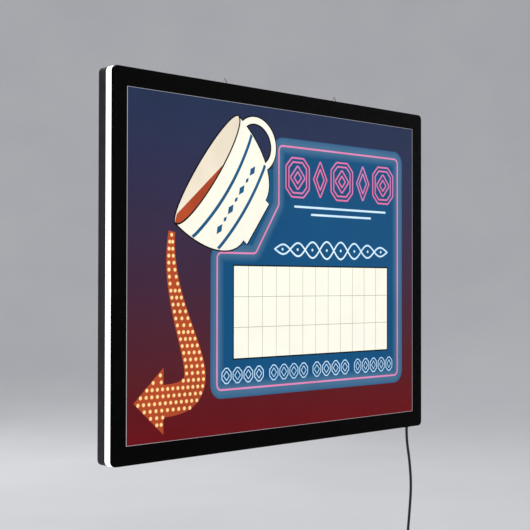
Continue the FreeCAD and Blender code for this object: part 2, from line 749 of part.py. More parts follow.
def strip_runs():
    """Strips by side: name, fixed coordinate, and the start and end of each run."""
    gap = S.post_radius + S.strip_end_gap
    along = [(-post_x + gap, -hanger_x - gap), (-hanger_x + gap, hanger_x - gap),
             (hanger_x + gap, post_x - gap)]
    top = [(-post_x + gap, -hanger_x - S.hanger_block_width / 2 - S.strip_end_gap),
           (-hanger_x + S.hanger_block_width / 2 + S.strip_end_gap,
            hanger_x - S.hanger_block_width / 2 - S.strip_end_gap),
           (hanger_x + S.hanger_block_width / 2 + S.strip_end_gap, post_x - gap)]
    side_end = channel_z - S.strip_width - S.strip_end_gap
    upright = [(-side_end, -gap), (gap, side_end)]
    return [("top", channel_z, top), ("bottom", -channel_z, along),
            ("left", -channel_x, upright), ("right", channel_x, upright)]


def light_strips():
    for side, line, runs in strip_runs():
        pieces = []
        for number, (start, end) in enumerate(runs, start=1):
            name = "strip_%s_%d" % (side, number)
            middle = (start + end) / 2
            if side in ("top", "bottom"):
                piece = block(name, middle, ledge_top, line, end - start, S.strip_thickness, S.strip_width)
            else:
                piece = block(name, line, ledge_top, middle, S.strip_width, S.strip_thickness, end - start)
            pieces.append(piece)
        group("led_strip_" + side, pieces)
        feature_of("leds_" + side, lamps(side, line.value, runs))


def lamps(side, line, runs):
    """Lamp packages in a row along every run of one side."""
    pitch = S.lamp_pitch.value
    margin = S.lamp_margin.value
    packages = []
    for start, end in runs:
        room = end.value - start.value - 2 * margin
        count = int(room / pitch) + 1
        first = (start.value + end.value) / 2 - (count - 1) * pitch / 2
        for number in range(count):
            packages.append(lamp(side, line, first + number * pitch))
    return Part.makeCompound(packages)


def lamp(side, line, place):
    long = S.lamp_long.value
    wide = S.lamp_wide.value
    high = S.lamp_high.value
    front = -(strip_front.value + high)
    if side in ("top", "bottom"):
        return Part.makeBox(long, high, wide, Vector(place - long / 2, front, line - wide / 2))
    return Part.makeBox(wide, high, long, Vector(line - wide / 2, front, place - long / 2))


def strip_jumpers():
    """Short leads that carry the supply from one strip to the next."""
    radius = S.core_radius.value
    front = -(strip_front.value + radius)
    hops = []
    for x, z in POSTS:
        up = abs(z.value) > EXACT
        reach = S.hanger_block_width.value / 2 if up and z.value > 0 else S.post_radius.value
        if up and abs(abs(x.value) - post_x.value) < EXACT:
            continue
        hops.append(hop_route(x.value, z.value, reach + S.strip_end_gap.value, front, up))
    for x_sign, z_sign in ((-1, 1), (1, 1), (-1, -1)):
        hops.append(corner_route(x_sign, z_sign, front))
    solids = [tube(points, radius)[0] for points in hops]
    feature_of("strip_jumpers", Part.makeCompound(solids))


def hop_route(x, z, reach, front, along_x):
    """Round the inner side of one post, from strip to strip."""
    offset = S.jumper_offset.value
    inner = S.post_radius.value + offset
    outer = reach + S.jumper_lap.value
    steps = [(-outer, offset), (-reach, inner), (reach, inner), (outer, offset)]
    if along_x:
        toward = -math.copysign(1, z)
        return [(x + along, front, z + toward * inward) for along, inward in steps]
    toward = -math.copysign(1, x)
    return [(x + toward * inward, front, z + along) for along, inward in steps]


def corner_route(x_sign, z_sign, front):
    """From the end of a long strip to the end of the side strip next to it."""
    x_start = post_x.value - S.post_radius.value - S.strip_end_gap.value
    z_line = channel_z.value - S.post_radius.value - S.corner_drop.value
    side_end = channel_z.value - S.strip_width.value - S.strip_end_gap.value
    offset = S.jumper_offset.value
    lap = S.corner_lap.value
    points = [(x_start - lap, channel_z.value - offset), (x_start + offset, z_line),
              (channel_x.value - S.corner_cut.value, z_line),
              (channel_x.value - offset, side_end - lap)]
    return [(x_sign * x, front, z_sign * z) for x, z in points]


# ---- supply ----------------------------------------------------------------

def input_board():
    body = new_body("input_board")
    outline = sketch_on(body, "outline", "XZ_Plane", board_rear)
    rectangle(outline, board_x, board_z, S.board_length, S.board_width)
    pad(body, "plate", outline, S.board_thickness)
    holes = sketch_on(body, "holes", "XZ_Plane", board_front)
    for x, z in board_holes():
        circle(holes, x, z, S.strap_screw_radius + S.screw_play)
    pocket(body, "screw_holes", holes, S.board_thickness)


def small_screws(label, places, seat):
    """Group of small pan-head screws that lie along Y with their heads in front."""
    body = new_body(label, several=True)
    heads = sketch_on(body, "heads", "XZ_Plane", seat)
    for x, z in places:
        circle(heads, x, z, S.strap_head_radius)
    pad(body, "heads", heads, S.strap_head_height)
    shanks = sketch_on(body, "shanks", "XZ_Plane", seat - S.strap_screw_length)
    for x, z in places:
        circle(shanks, x, z, S.strap_screw_radius)
    pad(body, "shanks", shanks, S.strap_screw_length)


def terminal_block():
    body = new_body("terminal_block")
    outline = sketch_on(body, "outline", "XZ_Plane", board_front)
    rectangle(outline, terminal_x, terminal_z, S.terminal_length, S.terminal_width)
    pad(body, "block", outline, S.terminal_height)
    wells = sketch_on(body, "wells", "XZ_Plane", board_front + S.terminal_height)
    for side in (-1, 1):
        circle(wells, terminal_x, terminal_z + S.core_pitch * side / 2, S.well_radius)
    pocket(body, "screw_wells", wells, S.well_depth)


def lead_clamp():
    body = new_body("lead_clamp")
    outline = sketch_on(body, "outline", "XZ_Plane", clamp_top)
    rectangle(outline, clamp_x, clamp_z, S.clamp_length, S.clamp_width)
    pad(body, "bar", outline, S.clamp_bar)
    groove = sketch_on(body, "groove", "YZ_Plane", clamp_x + S.clamp_length)
    circle(groove, -clamp_top, clamp_z, cord_radius + S.cord_play)
    pocket(body, "lead_groove", groove, S.clamp_length * 2)
    holes = sketch_on(body, "holes", "XZ_Plane", clamp_top + S.clamp_bar)
    for x, z in clamp_holes():
        circle(holes, x, z, S.strap_screw_radius + S.screw_play)
    pocket(body, "screw_holes", holes, S.clamp_bar)


def inner_lead():
    """Lead from the grommet through the clamp to the terminals."""
    y = -S.gland_depth.value
    outside = -(half_height + S.gland_flange + S.gland_nose).value
    stop = (clamp_x - S.clamp_length / 2 - S.jacket_end).value
    level = clamp_z.value
    x = gland_x.value
    corner = S.lead_corner.value
    points = [(x, y, outside), (x, y, level - corner), (x - corner, y, level), (stop, y, level)]
    solid, radii, length = tube(points, cord_radius.value)
    feature_of("inner_lead", solid)
    report("inner_lead", radii, length)


def core_leads():
    """The two cores: into the terminals, and from the board to the bottom strip."""
    radius = S.core_radius.value
    depth_in = -(board_front + S.terminal_height / 2).value
    block_edge = (terminal_x + S.terminal_length / 2).value
    stop = (clamp_x - S.clamp_length / 2 - S.jacket_end).value
    level = clamp_z.value
    board_low = (board_z - S.board_width / 2).value
    on_board = -(board_front.value + radius)
    on_strip = -(strip_front.value + radius)
    strip_z = -channel_z.value
    strip_edge = strip_z + (S.strip_width / 2 - S.core_edge).value
    strip_end = strip_z + (S.lamp_wide / 2 + S.lamp_clearance).value
    end = S.core_end.value
    for label, side in (("lead_positive", 1), ("lead_negative", -1)):
        aside = side * S.core_pitch.value / 2
        beside = level + side * (radius + S.cord_play.value)
        into = [(stop, -S.gland_depth.value, beside), (stop - end, -S.gland_depth.value, beside),
                (block_edge + end, depth_in, level + aside), (block_edge, depth_in, level + aside)]
        x = (board_x - S.core_shift + S.core_gap * side / 2).value
        down = [(x, on_board, board_low + S.core_lap.value),
                (x, on_board, board_low - S.core_edge.value),
                (x, on_strip, strip_edge), (x, on_strip, strip_end)]
        solids = [tube(points, radius, CORE_BEND_SHARE)[0] for points in (into, down)]
        feature_of(label, Part.makeCompound(solids))


def cord_gland():
    """Snap-in grommet: two flanges, a waist in the wall and a tapered nose."""
    body = new_body("cord_gland")
    profile = sketch_on(body, "profile", "XZ_Plane", S.gland_depth, gland_x)
    bore = cord_radius + S.cord_play
    top = S.housing_wall + S.gland_flange - half_height
    wall_in = S.housing_wall - half_height
    wall_out = -half_height
    flange_out = wall_out - S.gland_flange
    tip = flange_out - S.gland_nose
    polygon(profile, [
        (bore, tip), (S.gland_tip_radius, tip), (S.gland_radius, flange_out),
        (S.gland_flange_radius, flange_out), (S.gland_flange_radius, wall_out),
        (S.gland_radius, wall_out), (S.gland_radius, wall_in),
        (S.gland_flange_radius, wall_in), (S.gland_radius, top), (bore, top)])
    turn = body.newObject("PartDesign::Revolution", "cord_gland_turn")
    turn.Profile = profile
    turn.ReferenceAxis = (profile, ["V_Axis"])
    turn.Angle = 360
    doc.recompute()


# ---- hangers ---------------------------------------------------------------

def hanger_strap(label, x):
    """Sheet strap folded round the ring's bar, with its tail screwed down behind."""
    body = new_body(label)
    side = sketch_on(body, "side", "YZ_Plane", x - S.strap_width / 2)
    circle(side, -S.hanger_depth, hinge_z, strap_radius)
    pad(body, "barrel", side, S.strap_width)
    tail = sketch_on(body, "tail", "YZ_Plane", x - S.strap_width / 2)
    low = hinge_z - strap_radius
    high = low + S.strap_sheet * 2
    polygon(tail, [(-S.hanger_depth, low), (-S.strap_tail_depth, low),
                   (-S.strap_tail_depth, high), (-S.hanger_depth, high)])
    pad(body, "tail", tail, S.strap_width)
    bore = sketch_on(body, "bore", "YZ_Plane", x + S.strap_width)
    circle(bore, -S.hanger_depth, hinge_z, S.ring_wire / 2 + S.ring_play)
    pocket(body, "ring_bore", bore, S.strap_width * 2)
    hole = sketch_on(body, "hole", "XY_Plane", half_height)
    circle(hole, x, -S.strap_screw_depth, S.strap_screw_radius + S.screw_play)
    pocket(body, "screw_hole", hole, S.notch_height)


def hanger_screws():
    body = new_body("hanger_screws", several=True)
    seat = hinge_z - strap_radius + S.strap_sheet * 2
    for name, level, radius, height in (
            ("heads", seat, S.strap_head_radius, S.strap_head_height),
            ("shanks", seat - S.strap_screw_length, S.strap_screw_radius, S.strap_screw_length)):
        circles = sketch_on(body, name, "XY_Plane", level)
        for x in (-hanger_x, hanger_x):
            circle(circles, x, -S.strap_screw_depth, radius)
        pad(body, name, circles, height)


def hanger_ring(label, x):
    """Triangular wire ring, closed, standing up from its bar."""
    y = -S.hanger_depth.value
    low = hinge_z.value
    half = S.ring_base.value / 2
    corners = [Vector(x.value - half, y, low), Vector(x.value, y, low + S.ring_height.value),
               Vector(x.value + half, y, low)]
    path = rounded_loop(corners, S.ring_bend.value)
    start = Vector(x.value, y, low)
    section = Part.Wire([Part.makeCircle(S.ring_wire.value / 2, start, Vector(-1, 0, 0))])
    feature_of(label, path.makePipeShell([section], True, False))


def rounded_loop(corners, bend):
    """Closed path that starts halfway along the last side, with one bend per corner."""
    start = (corners[-1] + corners[0]) / 2
    edges = []
    place = start
    count = len(corners)
    for number, corner in enumerate(corners):
        inward = (corners[number - 1] - corner).normalize()
        outward = (corners[(number + 1) % count] - corner).normalize()
        half_turn = (math.pi - inward.getAngle(outward)) / 2
        cut = bend * math.tan(half_turn)
        bisector = (inward + outward).normalize()
        middle = corner + bisector * (bend / math.cos(half_turn) - bend)
        first = corner + inward * cut
        last = corner + outward * cut
        edges.append(Part.LineSegment(place, first).toShape())
        edges.append(Part.Arc(first, middle, last).toShape())
        place = last
    edges.append(Part.LineSegment(place, start).toShape())
    return Part.Wire(edges)


# ---- free lead and adapter -------------------------------------------------

def report(label, radii, length):
    text = ", ".join("%.1f" % radius for radius in radii)
    print("%s: length %.1f mm, bend radii %s mm" % (label, length, text))


def free_lead():
    for label, route in (("power_cord", CORD_ROUTE), ("cord_tail", TAIL_ROUTE)):
        solid, radii, length = tube(route, cord_radius.value)
        feature_of(label, solid)
        report(label, radii, length)


def revolved(body, name, sketch, angle, both_ways=False):
    turn = body.newObject("PartDesign::Revolution", body.Label + "_" + name)
    turn.Profile = sketch
    turn.ReferenceAxis = (sketch, ["V_Axis"])
    turn.Midplane = both_ways
    bind(turn, "Angle", angle)
    doc.recompute()
    return turn


def cord_coil():
    """Outer shape of the wound lead: a ring about a line parallel to Y."""
    body = new_body("cord_coil")
    section = sketch_on(body, "section", "XY_Plane", -S.coil_drop, S.coil_x, -S.coil_depth)
    rounded_rectangle(section, S.coil_section, S.coil_section, S.coil_round, x=S.coil_radius)
    revolved(body, "ring", section, 360)


def coil_tie():
    """Band round the coil's section on its left side."""
    body = new_body("coil_tie")
    section = sketch_on(body, "section", "XY_Plane", -S.coil_drop, S.coil_x, -S.coil_depth)
    outer = S.coil_section + S.tie_thickness * 2
    rounded_rectangle(section, outer, outer, S.coil_round + S.tie_thickness, x=-S.coil_radius)
    rounded_rectangle(section, S.coil_section, S.coil_section, S.coil_round, x=-S.coil_radius)
    revolved(body, "band", section, S.tie_angle, both_ways=True)


def adapter_case():
    """Moulded shell, open at the bottom, with a hole at the top for the lead."""
    body = new_body("adapter_case")
    low = S.adapter_plate - S.adapter_drop - S.adapter_height
    outline = sketch_on(body, "outline", "XY_Plane", low, S.coil_x, -S.adapter_depth)
    rounded_rectangle(outline, S.adapter_width, S.adapter_thick, S.adapter_round)
    pad(body, "block", outline, S.adapter_height - S.adapter_plate)
    inside = sketch_on(body, "inside", "XY_Plane", low, S.coil_x, -S.adapter_depth)
    rounded_rectangle(inside, S.adapter_width - S.adapter_wall * 2,
                      S.adapter_thick - S.adapter_wall * 2, S.adapter_round - S.adapter_wall)
    pocket(body, "cavity", inside, S.adapter_height - S.adapter_plate - S.adapter_wall, forward=True)
    hole = sketch_on(body, "lead_hole", "XY_Plane", -S.adapter_drop, S.coil_x, -S.adapter_depth)
    circle(hole, 0, 0, cord_radius + S.cord_play)
    pocket(body, "lead_hole", hole, S.adapter_wall)


def adapter_plate():
    body = new_body("adapter_plate")
    low = -S.adapter_drop - S.adapter_height
    outline = sketch_on(body, "outline", "XY_Plane", low, S.coil_x, -S.adapter_depth)
    rounded_rectangle(outline, S.adapter_width, S.adapter_thick, S.adapter_round)
    pad(body, "plate", outline, S.adapter_plate)
    slots = sketch_on(body, "slots", "XY_Plane", low, S.coil_x, -S.adapter_depth)
    for side in (-1, 1):
        rectangle(slots, S.blade_pitch * side / 2, as_size(0), S.blade_thickness, S.blade_width)
    pocket(body, "blade_slots", slots, S.adapter_plate, forward=True)


def adapter_blades():
    """Two flat plug blades with a hole near each tip."""
    body = new_body("adapter_blades", several=True)
    tip = -S.adapter_drop - S.adapter_height - S.blade_length
    length = S.blade_length + S.adapter_plate + S.adapter_wall
    outline = sketch_on(body, "outline", "XY_Plane", tip, S.coil_x, -S.adapter_depth)
    for side in (-1, 1):
        rectangle(outline, S.blade_pitch * side / 2, as_size(0), S.blade_thickness, S.blade_width)
    pad(body, "blades", outline, length)
    holes = sketch_on(body, "holes", "YZ_Plane", S.coil_x + S.blade_pitch)
    circle(holes, -S.adapter_depth, tip + S.blade_hole_up, S.blade_hole)
    pocket(body, "tip_holes", holes, S.blade_pitch * 2)


def adapter_relief():
    """Tapered lead exit on top of the adapter."""
    body = new_body("adapter_relief")
    low = -S.adapter_drop
    high = low + S.relief_length
    bore = cord_radius + S.cord_play
    profile = sketch_on(body, "profile", "XZ_Plane", S.adapter_depth, S.coil_x)
    polygon(profile, [(bore, low), (S.relief_radius, low), (S.relief_radius, low + S.relief_base),
                      (S.relief_tip_radius, high), (bore, high)])
    revolved(body, "cone", profile, 360)


def adapter_inside():
    """Board, transformer and capacitor inside the adapter."""
    low = S.adapter_plate + S.adapter_wall - S.adapter_drop - S.adapter_height
    high = -S.adapter_drop - S.adapter_wall - S.relief_length / 2
    board_y = S.adapter_depth - S.adapter_thick / 2 + S.adapter_wall + S.adapter_board_gap
    width = S.adapter_width - S.adapter_wall * 2 - S.adapter_board_play * 2
    board = block("adapter_board", S.coil_x, board_y, (low + high) / 2, width, S.board_thickness,
                  high - low)
    keep(board)
    on_board = board_y + S.board_thickness
    transformer = block("adapter_transformer", S.coil_x - S.transformer_x, on_board,
                        low + S.transformer_up, S.transformer_width, S.transformer_depth,
                        S.transformer_height)
    keep(transformer)
    can = doc.addObject("Part::Cylinder", "adapter_capacitor")
    can.Label = "adapter_capacitor"
    bind(can, "Radius", S.capacitor_radius)
    bind(can, "Height", S.capacitor_length)
    can.Placement = Placement(Vector(), Rotation(Vector(1, 0, 0), 90))
    bind(can, "Placement.Base.x", S.coil_x + S.capacitor_x)
    bind(can, "Placement.Base.y", -on_board)
    bind(can, "Placement.Base.z", low + S.capacitor_up)
    keep(can)


def end_of_tail():
    """Inside the adapter's relief the lead runs on to the case's cavity."""
    top = -(S.adapter_drop - S.relief_length).value
    bottom = -(S.adapter_drop + S.adapter_wall).value
    start = Vector(S.coil_x.value, -S.adapter_depth.value, bottom)
    solid = Part.makeCylinder(cord_radius.value, top - bottom, start)
    feature_of("adapter_lead_end", solid)


# ---- build, check, write ---------------------------------------------------

def build():
    front_bezel()
    panel_stack()
    halo_ring()
    rear_housing()
    housing_screws()
    rating_label()
    light_strips()
    strip_jumpers()
    input_board()
    small_screws("board_screws", board_holes(), board_front)
    terminal_block()
    lead_clamp()
    small_screws("clamp_screws", clamp_holes(), clamp_top + S.clamp_bar)
    inner_lead()
    core_leads()
    cord_gland()
    for side, x in (("left", -hanger_x), ("right", hanger_x)):
        hanger_strap("hanger_strap_" + side, x)
        hanger_ring("hanger_ring_" + side, x)
    hanger_screws()
    free_lead()
    cord_coil()
    coil_tie()
    adapter_case()
    adapter_plate()
    adapter_blades()
    adapter_relief()
    adapter_inside()
    end_of_tail()
    doc.recompute()


def check():
    for thing in doc.Objects:
        if "Invalid" in thing.State or "Error" in thing.State:
            raise ValueError(thing.Name + " did not recompute: " + str(thing.State))
    for thing in parts:
        if thing.Shape.isNull() or not thing.Shape.isValid() or not thing.Shape.Solids:
            raise ValueError(thing.Label + " has no valid shape")


def write():
    os.makedirs("parts", exist_ok=True)
    for thing in parts:
        thing.Shape.exportStep("parts/%s.step" % thing.Label)
    print("%d sub-parts written" % len(parts))


build()
check()
write()
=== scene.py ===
"""Looks of the illuminated wall sign: camera, lead, materials and the lit picture.

Everything is in metres in the CAD model's frame: +X is right as seen from the front,
+Y points into the wall and +Z is up, so the front of the sign faces -Y.
"""
import math

import bpy
from mathutils import Matrix, Vector
from mathutils.geometry import tessellate_polygon


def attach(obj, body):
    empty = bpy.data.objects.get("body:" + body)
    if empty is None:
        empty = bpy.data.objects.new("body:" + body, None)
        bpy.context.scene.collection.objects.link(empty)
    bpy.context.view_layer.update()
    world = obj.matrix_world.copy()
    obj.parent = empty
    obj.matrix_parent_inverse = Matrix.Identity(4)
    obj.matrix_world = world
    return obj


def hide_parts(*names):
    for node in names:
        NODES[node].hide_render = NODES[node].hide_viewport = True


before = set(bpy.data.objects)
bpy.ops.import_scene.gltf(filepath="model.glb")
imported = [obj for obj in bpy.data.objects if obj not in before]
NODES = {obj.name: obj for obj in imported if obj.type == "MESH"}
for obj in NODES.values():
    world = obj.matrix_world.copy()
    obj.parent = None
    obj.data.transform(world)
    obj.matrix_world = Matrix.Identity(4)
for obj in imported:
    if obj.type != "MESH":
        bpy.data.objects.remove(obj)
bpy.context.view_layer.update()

MM = 0.001


# ---- camera ----------------------------------------------------------------

CAMERA_PLACE = (-0.97821, -0.96160, -0.01664)
CAMERA_AHEAD = (0.70837, 0.70568, 0.01490)
CAMERA_UP = (-0.01183, -0.00924, 0.99989)
CAMERA_LENS = 79.40


def make_camera():
    """Eye level with the middle of the sign, half way round to its left side."""
    forward = Vector(CAMERA_AHEAD).normalized()
    right = forward.cross(Vector(CAMERA_UP)).normalized()
    up = right.cross(forward)
    data = bpy.data.cameras.new("camera")
    data.lens = CAMERA_LENS
    data.sensor_width = 36.0
    data.clip_start = 0.02
    camera = bpy.data.objects.new("camera", data)
    bpy.context.collection.objects.link(camera)
    turn = Matrix((right, up, -forward)).transposed().to_4x4()
    camera.matrix_world = Matrix.Translation(CAMERA_PLACE) @ turn
    bpy.context.scene.camera = camera


# ---- lead ------------------------------------------------------------------

LEAD_DIAMETER = 0.0034
LEAD_DROP = [
    (0.2429, -0.0080, -0.2066),
    (0.2429, -0.0080, -0.2230),
    (0.2492, -0.0081, -0.2500),
    (0.2530, -0.0080, -0.2840),
    (0.2510, -0.0066, -0.3180),
    (0.2497, -0.0043, -0.3500),
    (0.2495, -0.0038, -0.3760),
]
LEAD_TAIL = [
    (0.2426, -0.0142, -0.3800),
    (0.2422, -0.0140, -0.3940),
    (0.2345, -0.0128, -0.4080),
    (0.2253, -0.0120, -0.4220),
    (0.2253, -0.0120, -0.4360),
]
COIL_CENTRE = (0.2253, -0.3780)
COIL_RADII = [0.02418, 0.02073, 0.01728, 0.01383]
COIL_DEPTHS = [-0.00382, -0.00727, -0.01072, -0.01417]
COIL_TURNS = 14
POINTS_PER_TURN = 16


def coil_seats():
    """Radius and depth of each turn: layer by layer, inwards and outwards in turn."""
    seats = []
    for layer, depth in enumerate(COIL_DEPTHS):
        radii = COIL_RADII if layer % 2 == 0 else COIL_RADII[::-1]
        seats += [(radius, depth) for radius in radii]
    return seats[:COIL_TURNS]


def coil_points():
    """Turns wound clockwise; each turn moves to the next seat in its own part of the circle."""
    seats = coil_seats()
    per_layer = len(COIL_RADII)
    sectors = 2 * len(COIL_DEPTHS) - 1
    inside = math.cos(math.pi / POINTS_PER_TURN)
    points = []
    for turn in range(COIL_TURNS):
        layer, place = divmod(turn, per_layer)
        last_in_layer = place == per_layer - 1
        sector = sectors - 1 - 2 * layer - (1 if last_in_layer else 0)
        here = seats[turn]
        following = seats[min(turn + 1, COIL_TURNS - 1)]
        for step in range(POINTS_PER_TURN):
            if turn == 0 and step == 0:
                continue
            share = step / POINTS_PER_TURN * sectors - sector
            share = min(1.0, max(0.0, share))
            share = share * share * (3 - 2 * share)
            radius = (here[0] + (following[0] - here[0]) * share) / inside
            depth = here[1] + (following[1] - here[1]) * share
            angle = 2 * math.pi * step / POINTS_PER_TURN
            points.append((COIL_CENTRE[0] + radius * math.cos(angle), depth,
                           COIL_CENTRE[1] - radius * math.sin(angle)))
    return points


def make_lead():
    """The whole lead as one smooth line: down from the grommet, the coil, and into the adapter."""
    curve = bpy.data.curves.new("lead", "CURVE")
    curve.dimensions = "3D"
    curve.bevel_depth = 1.0
    curve.bevel_resolution = 5
    curve.resolution_u = 6
    curve.use_fill_caps = True
    points = LEAD_DROP + coil_points() + LEAD_TAIL
    spline = curve.splines.new("NURBS")
    spline.points.add(len(points) - 1)
    for point, place in zip(spline.points, points):
        point.co = (*place, 1.0)
        point.radius = LEAD_DIAMETER / 2
    spline.order_u = 3
    spline.use_endpoint_u = True
    lead = bpy.data.objects.new("lead", curve)
    bpy.context.collection.objects.link(lead)
    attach(lead, "root")
    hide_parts("power_cord", "cord_coil", "cord_tail")
    return lead


make_camera()
lead = make_lead()


# ---- materials -------------------------------------------------------------

def tone(red, green, blue):
    """A display colour, 0 to 255, as the linear colour that the shaders take."""
    linear = []
    for value in (red, green, blue):
        value /= 255
        linear.append(value / 12.92 if value <= 0.04045 else ((value + 0.055) / 1.055) ** 2.4)
    return (*linear, 1.0)


MIX_INPUTS = (0, 6, 7)
MIX_RESULT = 2


class Look:
    """A node material with one main shader, and short calls for the nodes that feed it."""

    def __init__(self, name, **sockets):
        self.material = bpy.data.materials.new(name)
        self.material.use_nodes = True
        self.tree = self.material.node_tree
        self.tree.nodes.clear()
        output = self.tree.nodes.new("ShaderNodeOutputMaterial")
        self.shader = self.tree.nodes.new("ShaderNodeBsdfPrincipled")
        self.tree.links.new(self.shader.outputs[0], output.inputs["Surface"])
        self.set(self.shader, sockets)

    def set(self, node, sockets):
        for name, value in sockets.items():
            socket = node.inputs[name.replace("_", " ") if isinstance(name, str) else name]
            if isinstance(value, bpy.types.NodeSocket):
                self.tree.links.new(value, socket)
            else:
                socket.default_value = value

    def add(self, kind, settings=None, **sockets):
        node = self.tree.nodes.new("ShaderNode" + kind)
        for name, value in (settings or {}).items():
            setattr(node, name, value)
        self.set(node, sockets)
        return node

    def place(self):
        return self.add("TexCoord").outputs["Object"]

    def stretched(self, scale):
        return self.add("Mapping", Vector=self.place(), Scale=scale).outputs[0]

    def noise(self, scale, detail=3.0, where=None):
        node = self.add("TexNoise", Vector=where or self.place(), Scale=scale, Detail=detail)
        return node.outputs["Fac"]

    def between(self, value, low, high, start=0.0, end=1.0):
        node = self.add("MapRange", Value=value)
        node.inputs["From Min"].default_value = start
        node.inputs["From Max"].default_value = end
        node.inputs["To Min"].default_value = low
        node.inputs["To Max"].default_value = high
        return node.outputs["Result"]

    def ramp(self, value, stops, easing="LINEAR"):
        node = self.add("ValToRGB", Fac=value)
        node.color_ramp.interpolation = easing
        elements = node.color_ramp.elements
        while len(elements) < len(stops):
            elements.new(0.5)
        for element, (position, colour) in zip(elements, stops):
            element.position = position
            element.color = colour
        return node.outputs["Color"]

    def mix(self, share, first, second, way="MIX"):
        node = self.add("Mix", {"data_type": "RGBA", "blend_type": way})
        self.set(node, dict(zip(MIX_INPUTS, (share, first, second))))
        return node.outputs[MIX_RESULT]

    def part_of(self, socket, axis):
        return self.add("SeparateXYZ", Vector=socket).outputs[axis]

    def relief(self, height, depth, strength=1.0):
        node = self.add("Bump", Height=height, Distance=depth, Strength=strength)
        self.set(self.shader, {"Normal": node.outputs[0]})


def darker(colour, share):
    """The colour times a share; a share above 1 makes it lighter."""
    return (*[value * share for value in colour[:3]], 1.0)


def moulded(name, colour, rough, grain, depth, spread=0.18, wear=None, **sockets):
    """Moulded plastic or rubber: cloudy colour, uneven gloss, fine surface texture."""
    look = Look(name, **sockets)
    cloud = look.between(look.noise(35.0, 4.0), 0.0, 1.0, 0.3, 0.7)
    shade = look.mix(cloud, darker(colour, 1 - spread), darker(colour, 1 + spread))
    if wear:
        scuffs = look.noise(1.0, 5.0, look.stretched((30.0, 30.0, 520.0)))
        rubbed = look.between(scuffs, 0.0, 0.5, 0.62, 0.74)
        shade = look.mix(rubbed, shade, wear)
    smudges = look.noise(120.0, 5.0)
    look.set(look.shader, {
        "Base Color": shade,
        "Roughness": look.between(smudges, rough - 0.07, rough + 0.09, 0.3, 0.7),
    })
    look.relief(look.noise(grain, 2.0), depth)
    return look.material


def metal(name, colour, rough, stretch, depth=0.00002):
    """Plated metal with drawn lines along one direction."""
    look = Look(name, Metallic=1.0)
    lines = look.noise(1.0, 4.0, look.stretched(stretch))
    stain = look.between(look.noise(260.0, 4.0), 0.0, 1.0, 0.35, 0.7)
    look.set(look.shader, {
        "Base Color": look.mix(stain, darker(colour, 0.72), colour),
        "Roughness": look.between(lines, rough - 0.08, rough + 0.14, 0.3, 0.7),
    })
    look.relief(lines, depth, 0.5)
    return look.material


def circuit_board(name, mask, copper, pitch):
    """Solder mask over faint copper tracks."""
    look = Look(name)
    tracks = look.add("TexBrick", Vector=look.place(), Scale=pitch)
    tracks.inputs["Mortar Size"].default_value = 0.03
    look.set(tracks, {"Color1": mask, "Color2": darker(mask, 0.86), "Mortar": copper})
    look.set(look.shader, {
        "Base Color": tracks.outputs["Color"],
        "Roughness": look.between(look.noise(300.0), 0.25, 0.45),
    })
    look.relief(tracks.outputs["Fac"], 0.00003, 0.6)
    return look.material


def opal(name):
    """The glowing ring: opal acrylic with a soft lamp rhythm along it."""
    look = Look(name, Roughness=0.4, Emission_Strength=1.0)
    place = look.place()
    ripple = look.add("TexWave", {"wave_profile": "SIN"}, Vector=place, Scale=19.0, Distortion=0.4)
    cloud = look.noise(55.0, 3.0)
    glow = look.mix(ripple.outputs["Fac"], (0.93, 0.94, 0.96, 1.0), (1.0, 1.0, 1.0, 1.0))
    shade = look.mix(cloud, glow, (1.0, 1.0, 1.0, 1.0))
    look.set(look.shader, {"Base Color": shade, "Emission Color": shade})
    look.relief(look.noise(900.0, 2.0), 0.00003, 0.4)
    return look.material


PRINT_SHEEN = 0.05
PRINT_BODY = (0.12, 0.12, 0.12, 1.0)
PRINT_GLOW = 0.86
WHITE_GLOW = 0.97


def finish_print(look, colour, glow=PRINT_GLOW):
    """Translucent ink lit from behind: fine speckle, faint clouds and a satin film on top."""
    speckle = look.between(look.noise(2600.0, 1.0), 0.93, 1.07, 0.3, 0.7)
    cloud = look.between(look.noise(14.0, 3.0), 0.95, 1.05, 0.3, 0.7)
    factor = look.add("Math", {"operation": "MULTIPLY"})
    look.set(factor, {0: speckle, 1: cloud})
    lit = look.mix(1.0, colour, factor.outputs[0], "MULTIPLY")
    body = look.mix(1.0, lit, PRINT_BODY, "MULTIPLY")
    look.set(look.shader, {
        "Base Color": body,
        "Emission Color": lit,
        "Emission Strength": glow,
        "Roughness": look.between(look.noise(90.0, 4.0), 0.36, 0.52, 0.3, 0.7),
        "Specular IOR Level": PRINT_SHEEN,
    })
    look.relief(look.noise(1800.0, 2.0), 0.00002, 0.3)
    return look.material


DUSK = [
    (0.00, tone(106, 16, 24)),
    (0.10, tone(97, 24, 31)),
    (0.22, tone(87, 33, 43)),
    (0.36, tone(76, 38, 56)),
    (0.52, tone(63, 43, 67)),
    (0.72, tone(52, 48, 78)),
    (0.88, tone(43, 51, 83)),
    (1.00, tone(38, 51, 82)),
]
FIELD_BLUE = tone(17, 82, 128)
HAZE_BLUE = tone(74, 116, 150)
RIM_BLUE = tone(52, 98, 140)
NEON_PINK = tone(228, 130, 176)
NEON_CORE = tone(212, 150, 204)
HEADLINE_PINK = tone(232, 118, 168)
HEADLINE_CORE = tone(200, 138, 198)
ICE_WHITE = tone(202, 232, 252)
PALE_BLUE = tone(180, 216, 244)
CREAM = tone(250, 248, 234)
CREAM_INSIDE = tone(250, 239, 218)
GRID_LINE = tone(198, 196, 184)
OUTLINE_INK = tone(10, 15, 22)
STRIPE_BLUE = tone(28, 88, 130)
COFFEE = tone(189, 80, 45)
COFFEE_DEEP = tone(170, 68, 38)
BULB_CORE = tone(255, 230, 168)
BULB_EDGE = tone(240, 170, 96)
MARGIN_LIGHT = tone(184, 182, 186)
DUSK_LOW, DUSK_HIGH = -0.1836, 0.1836


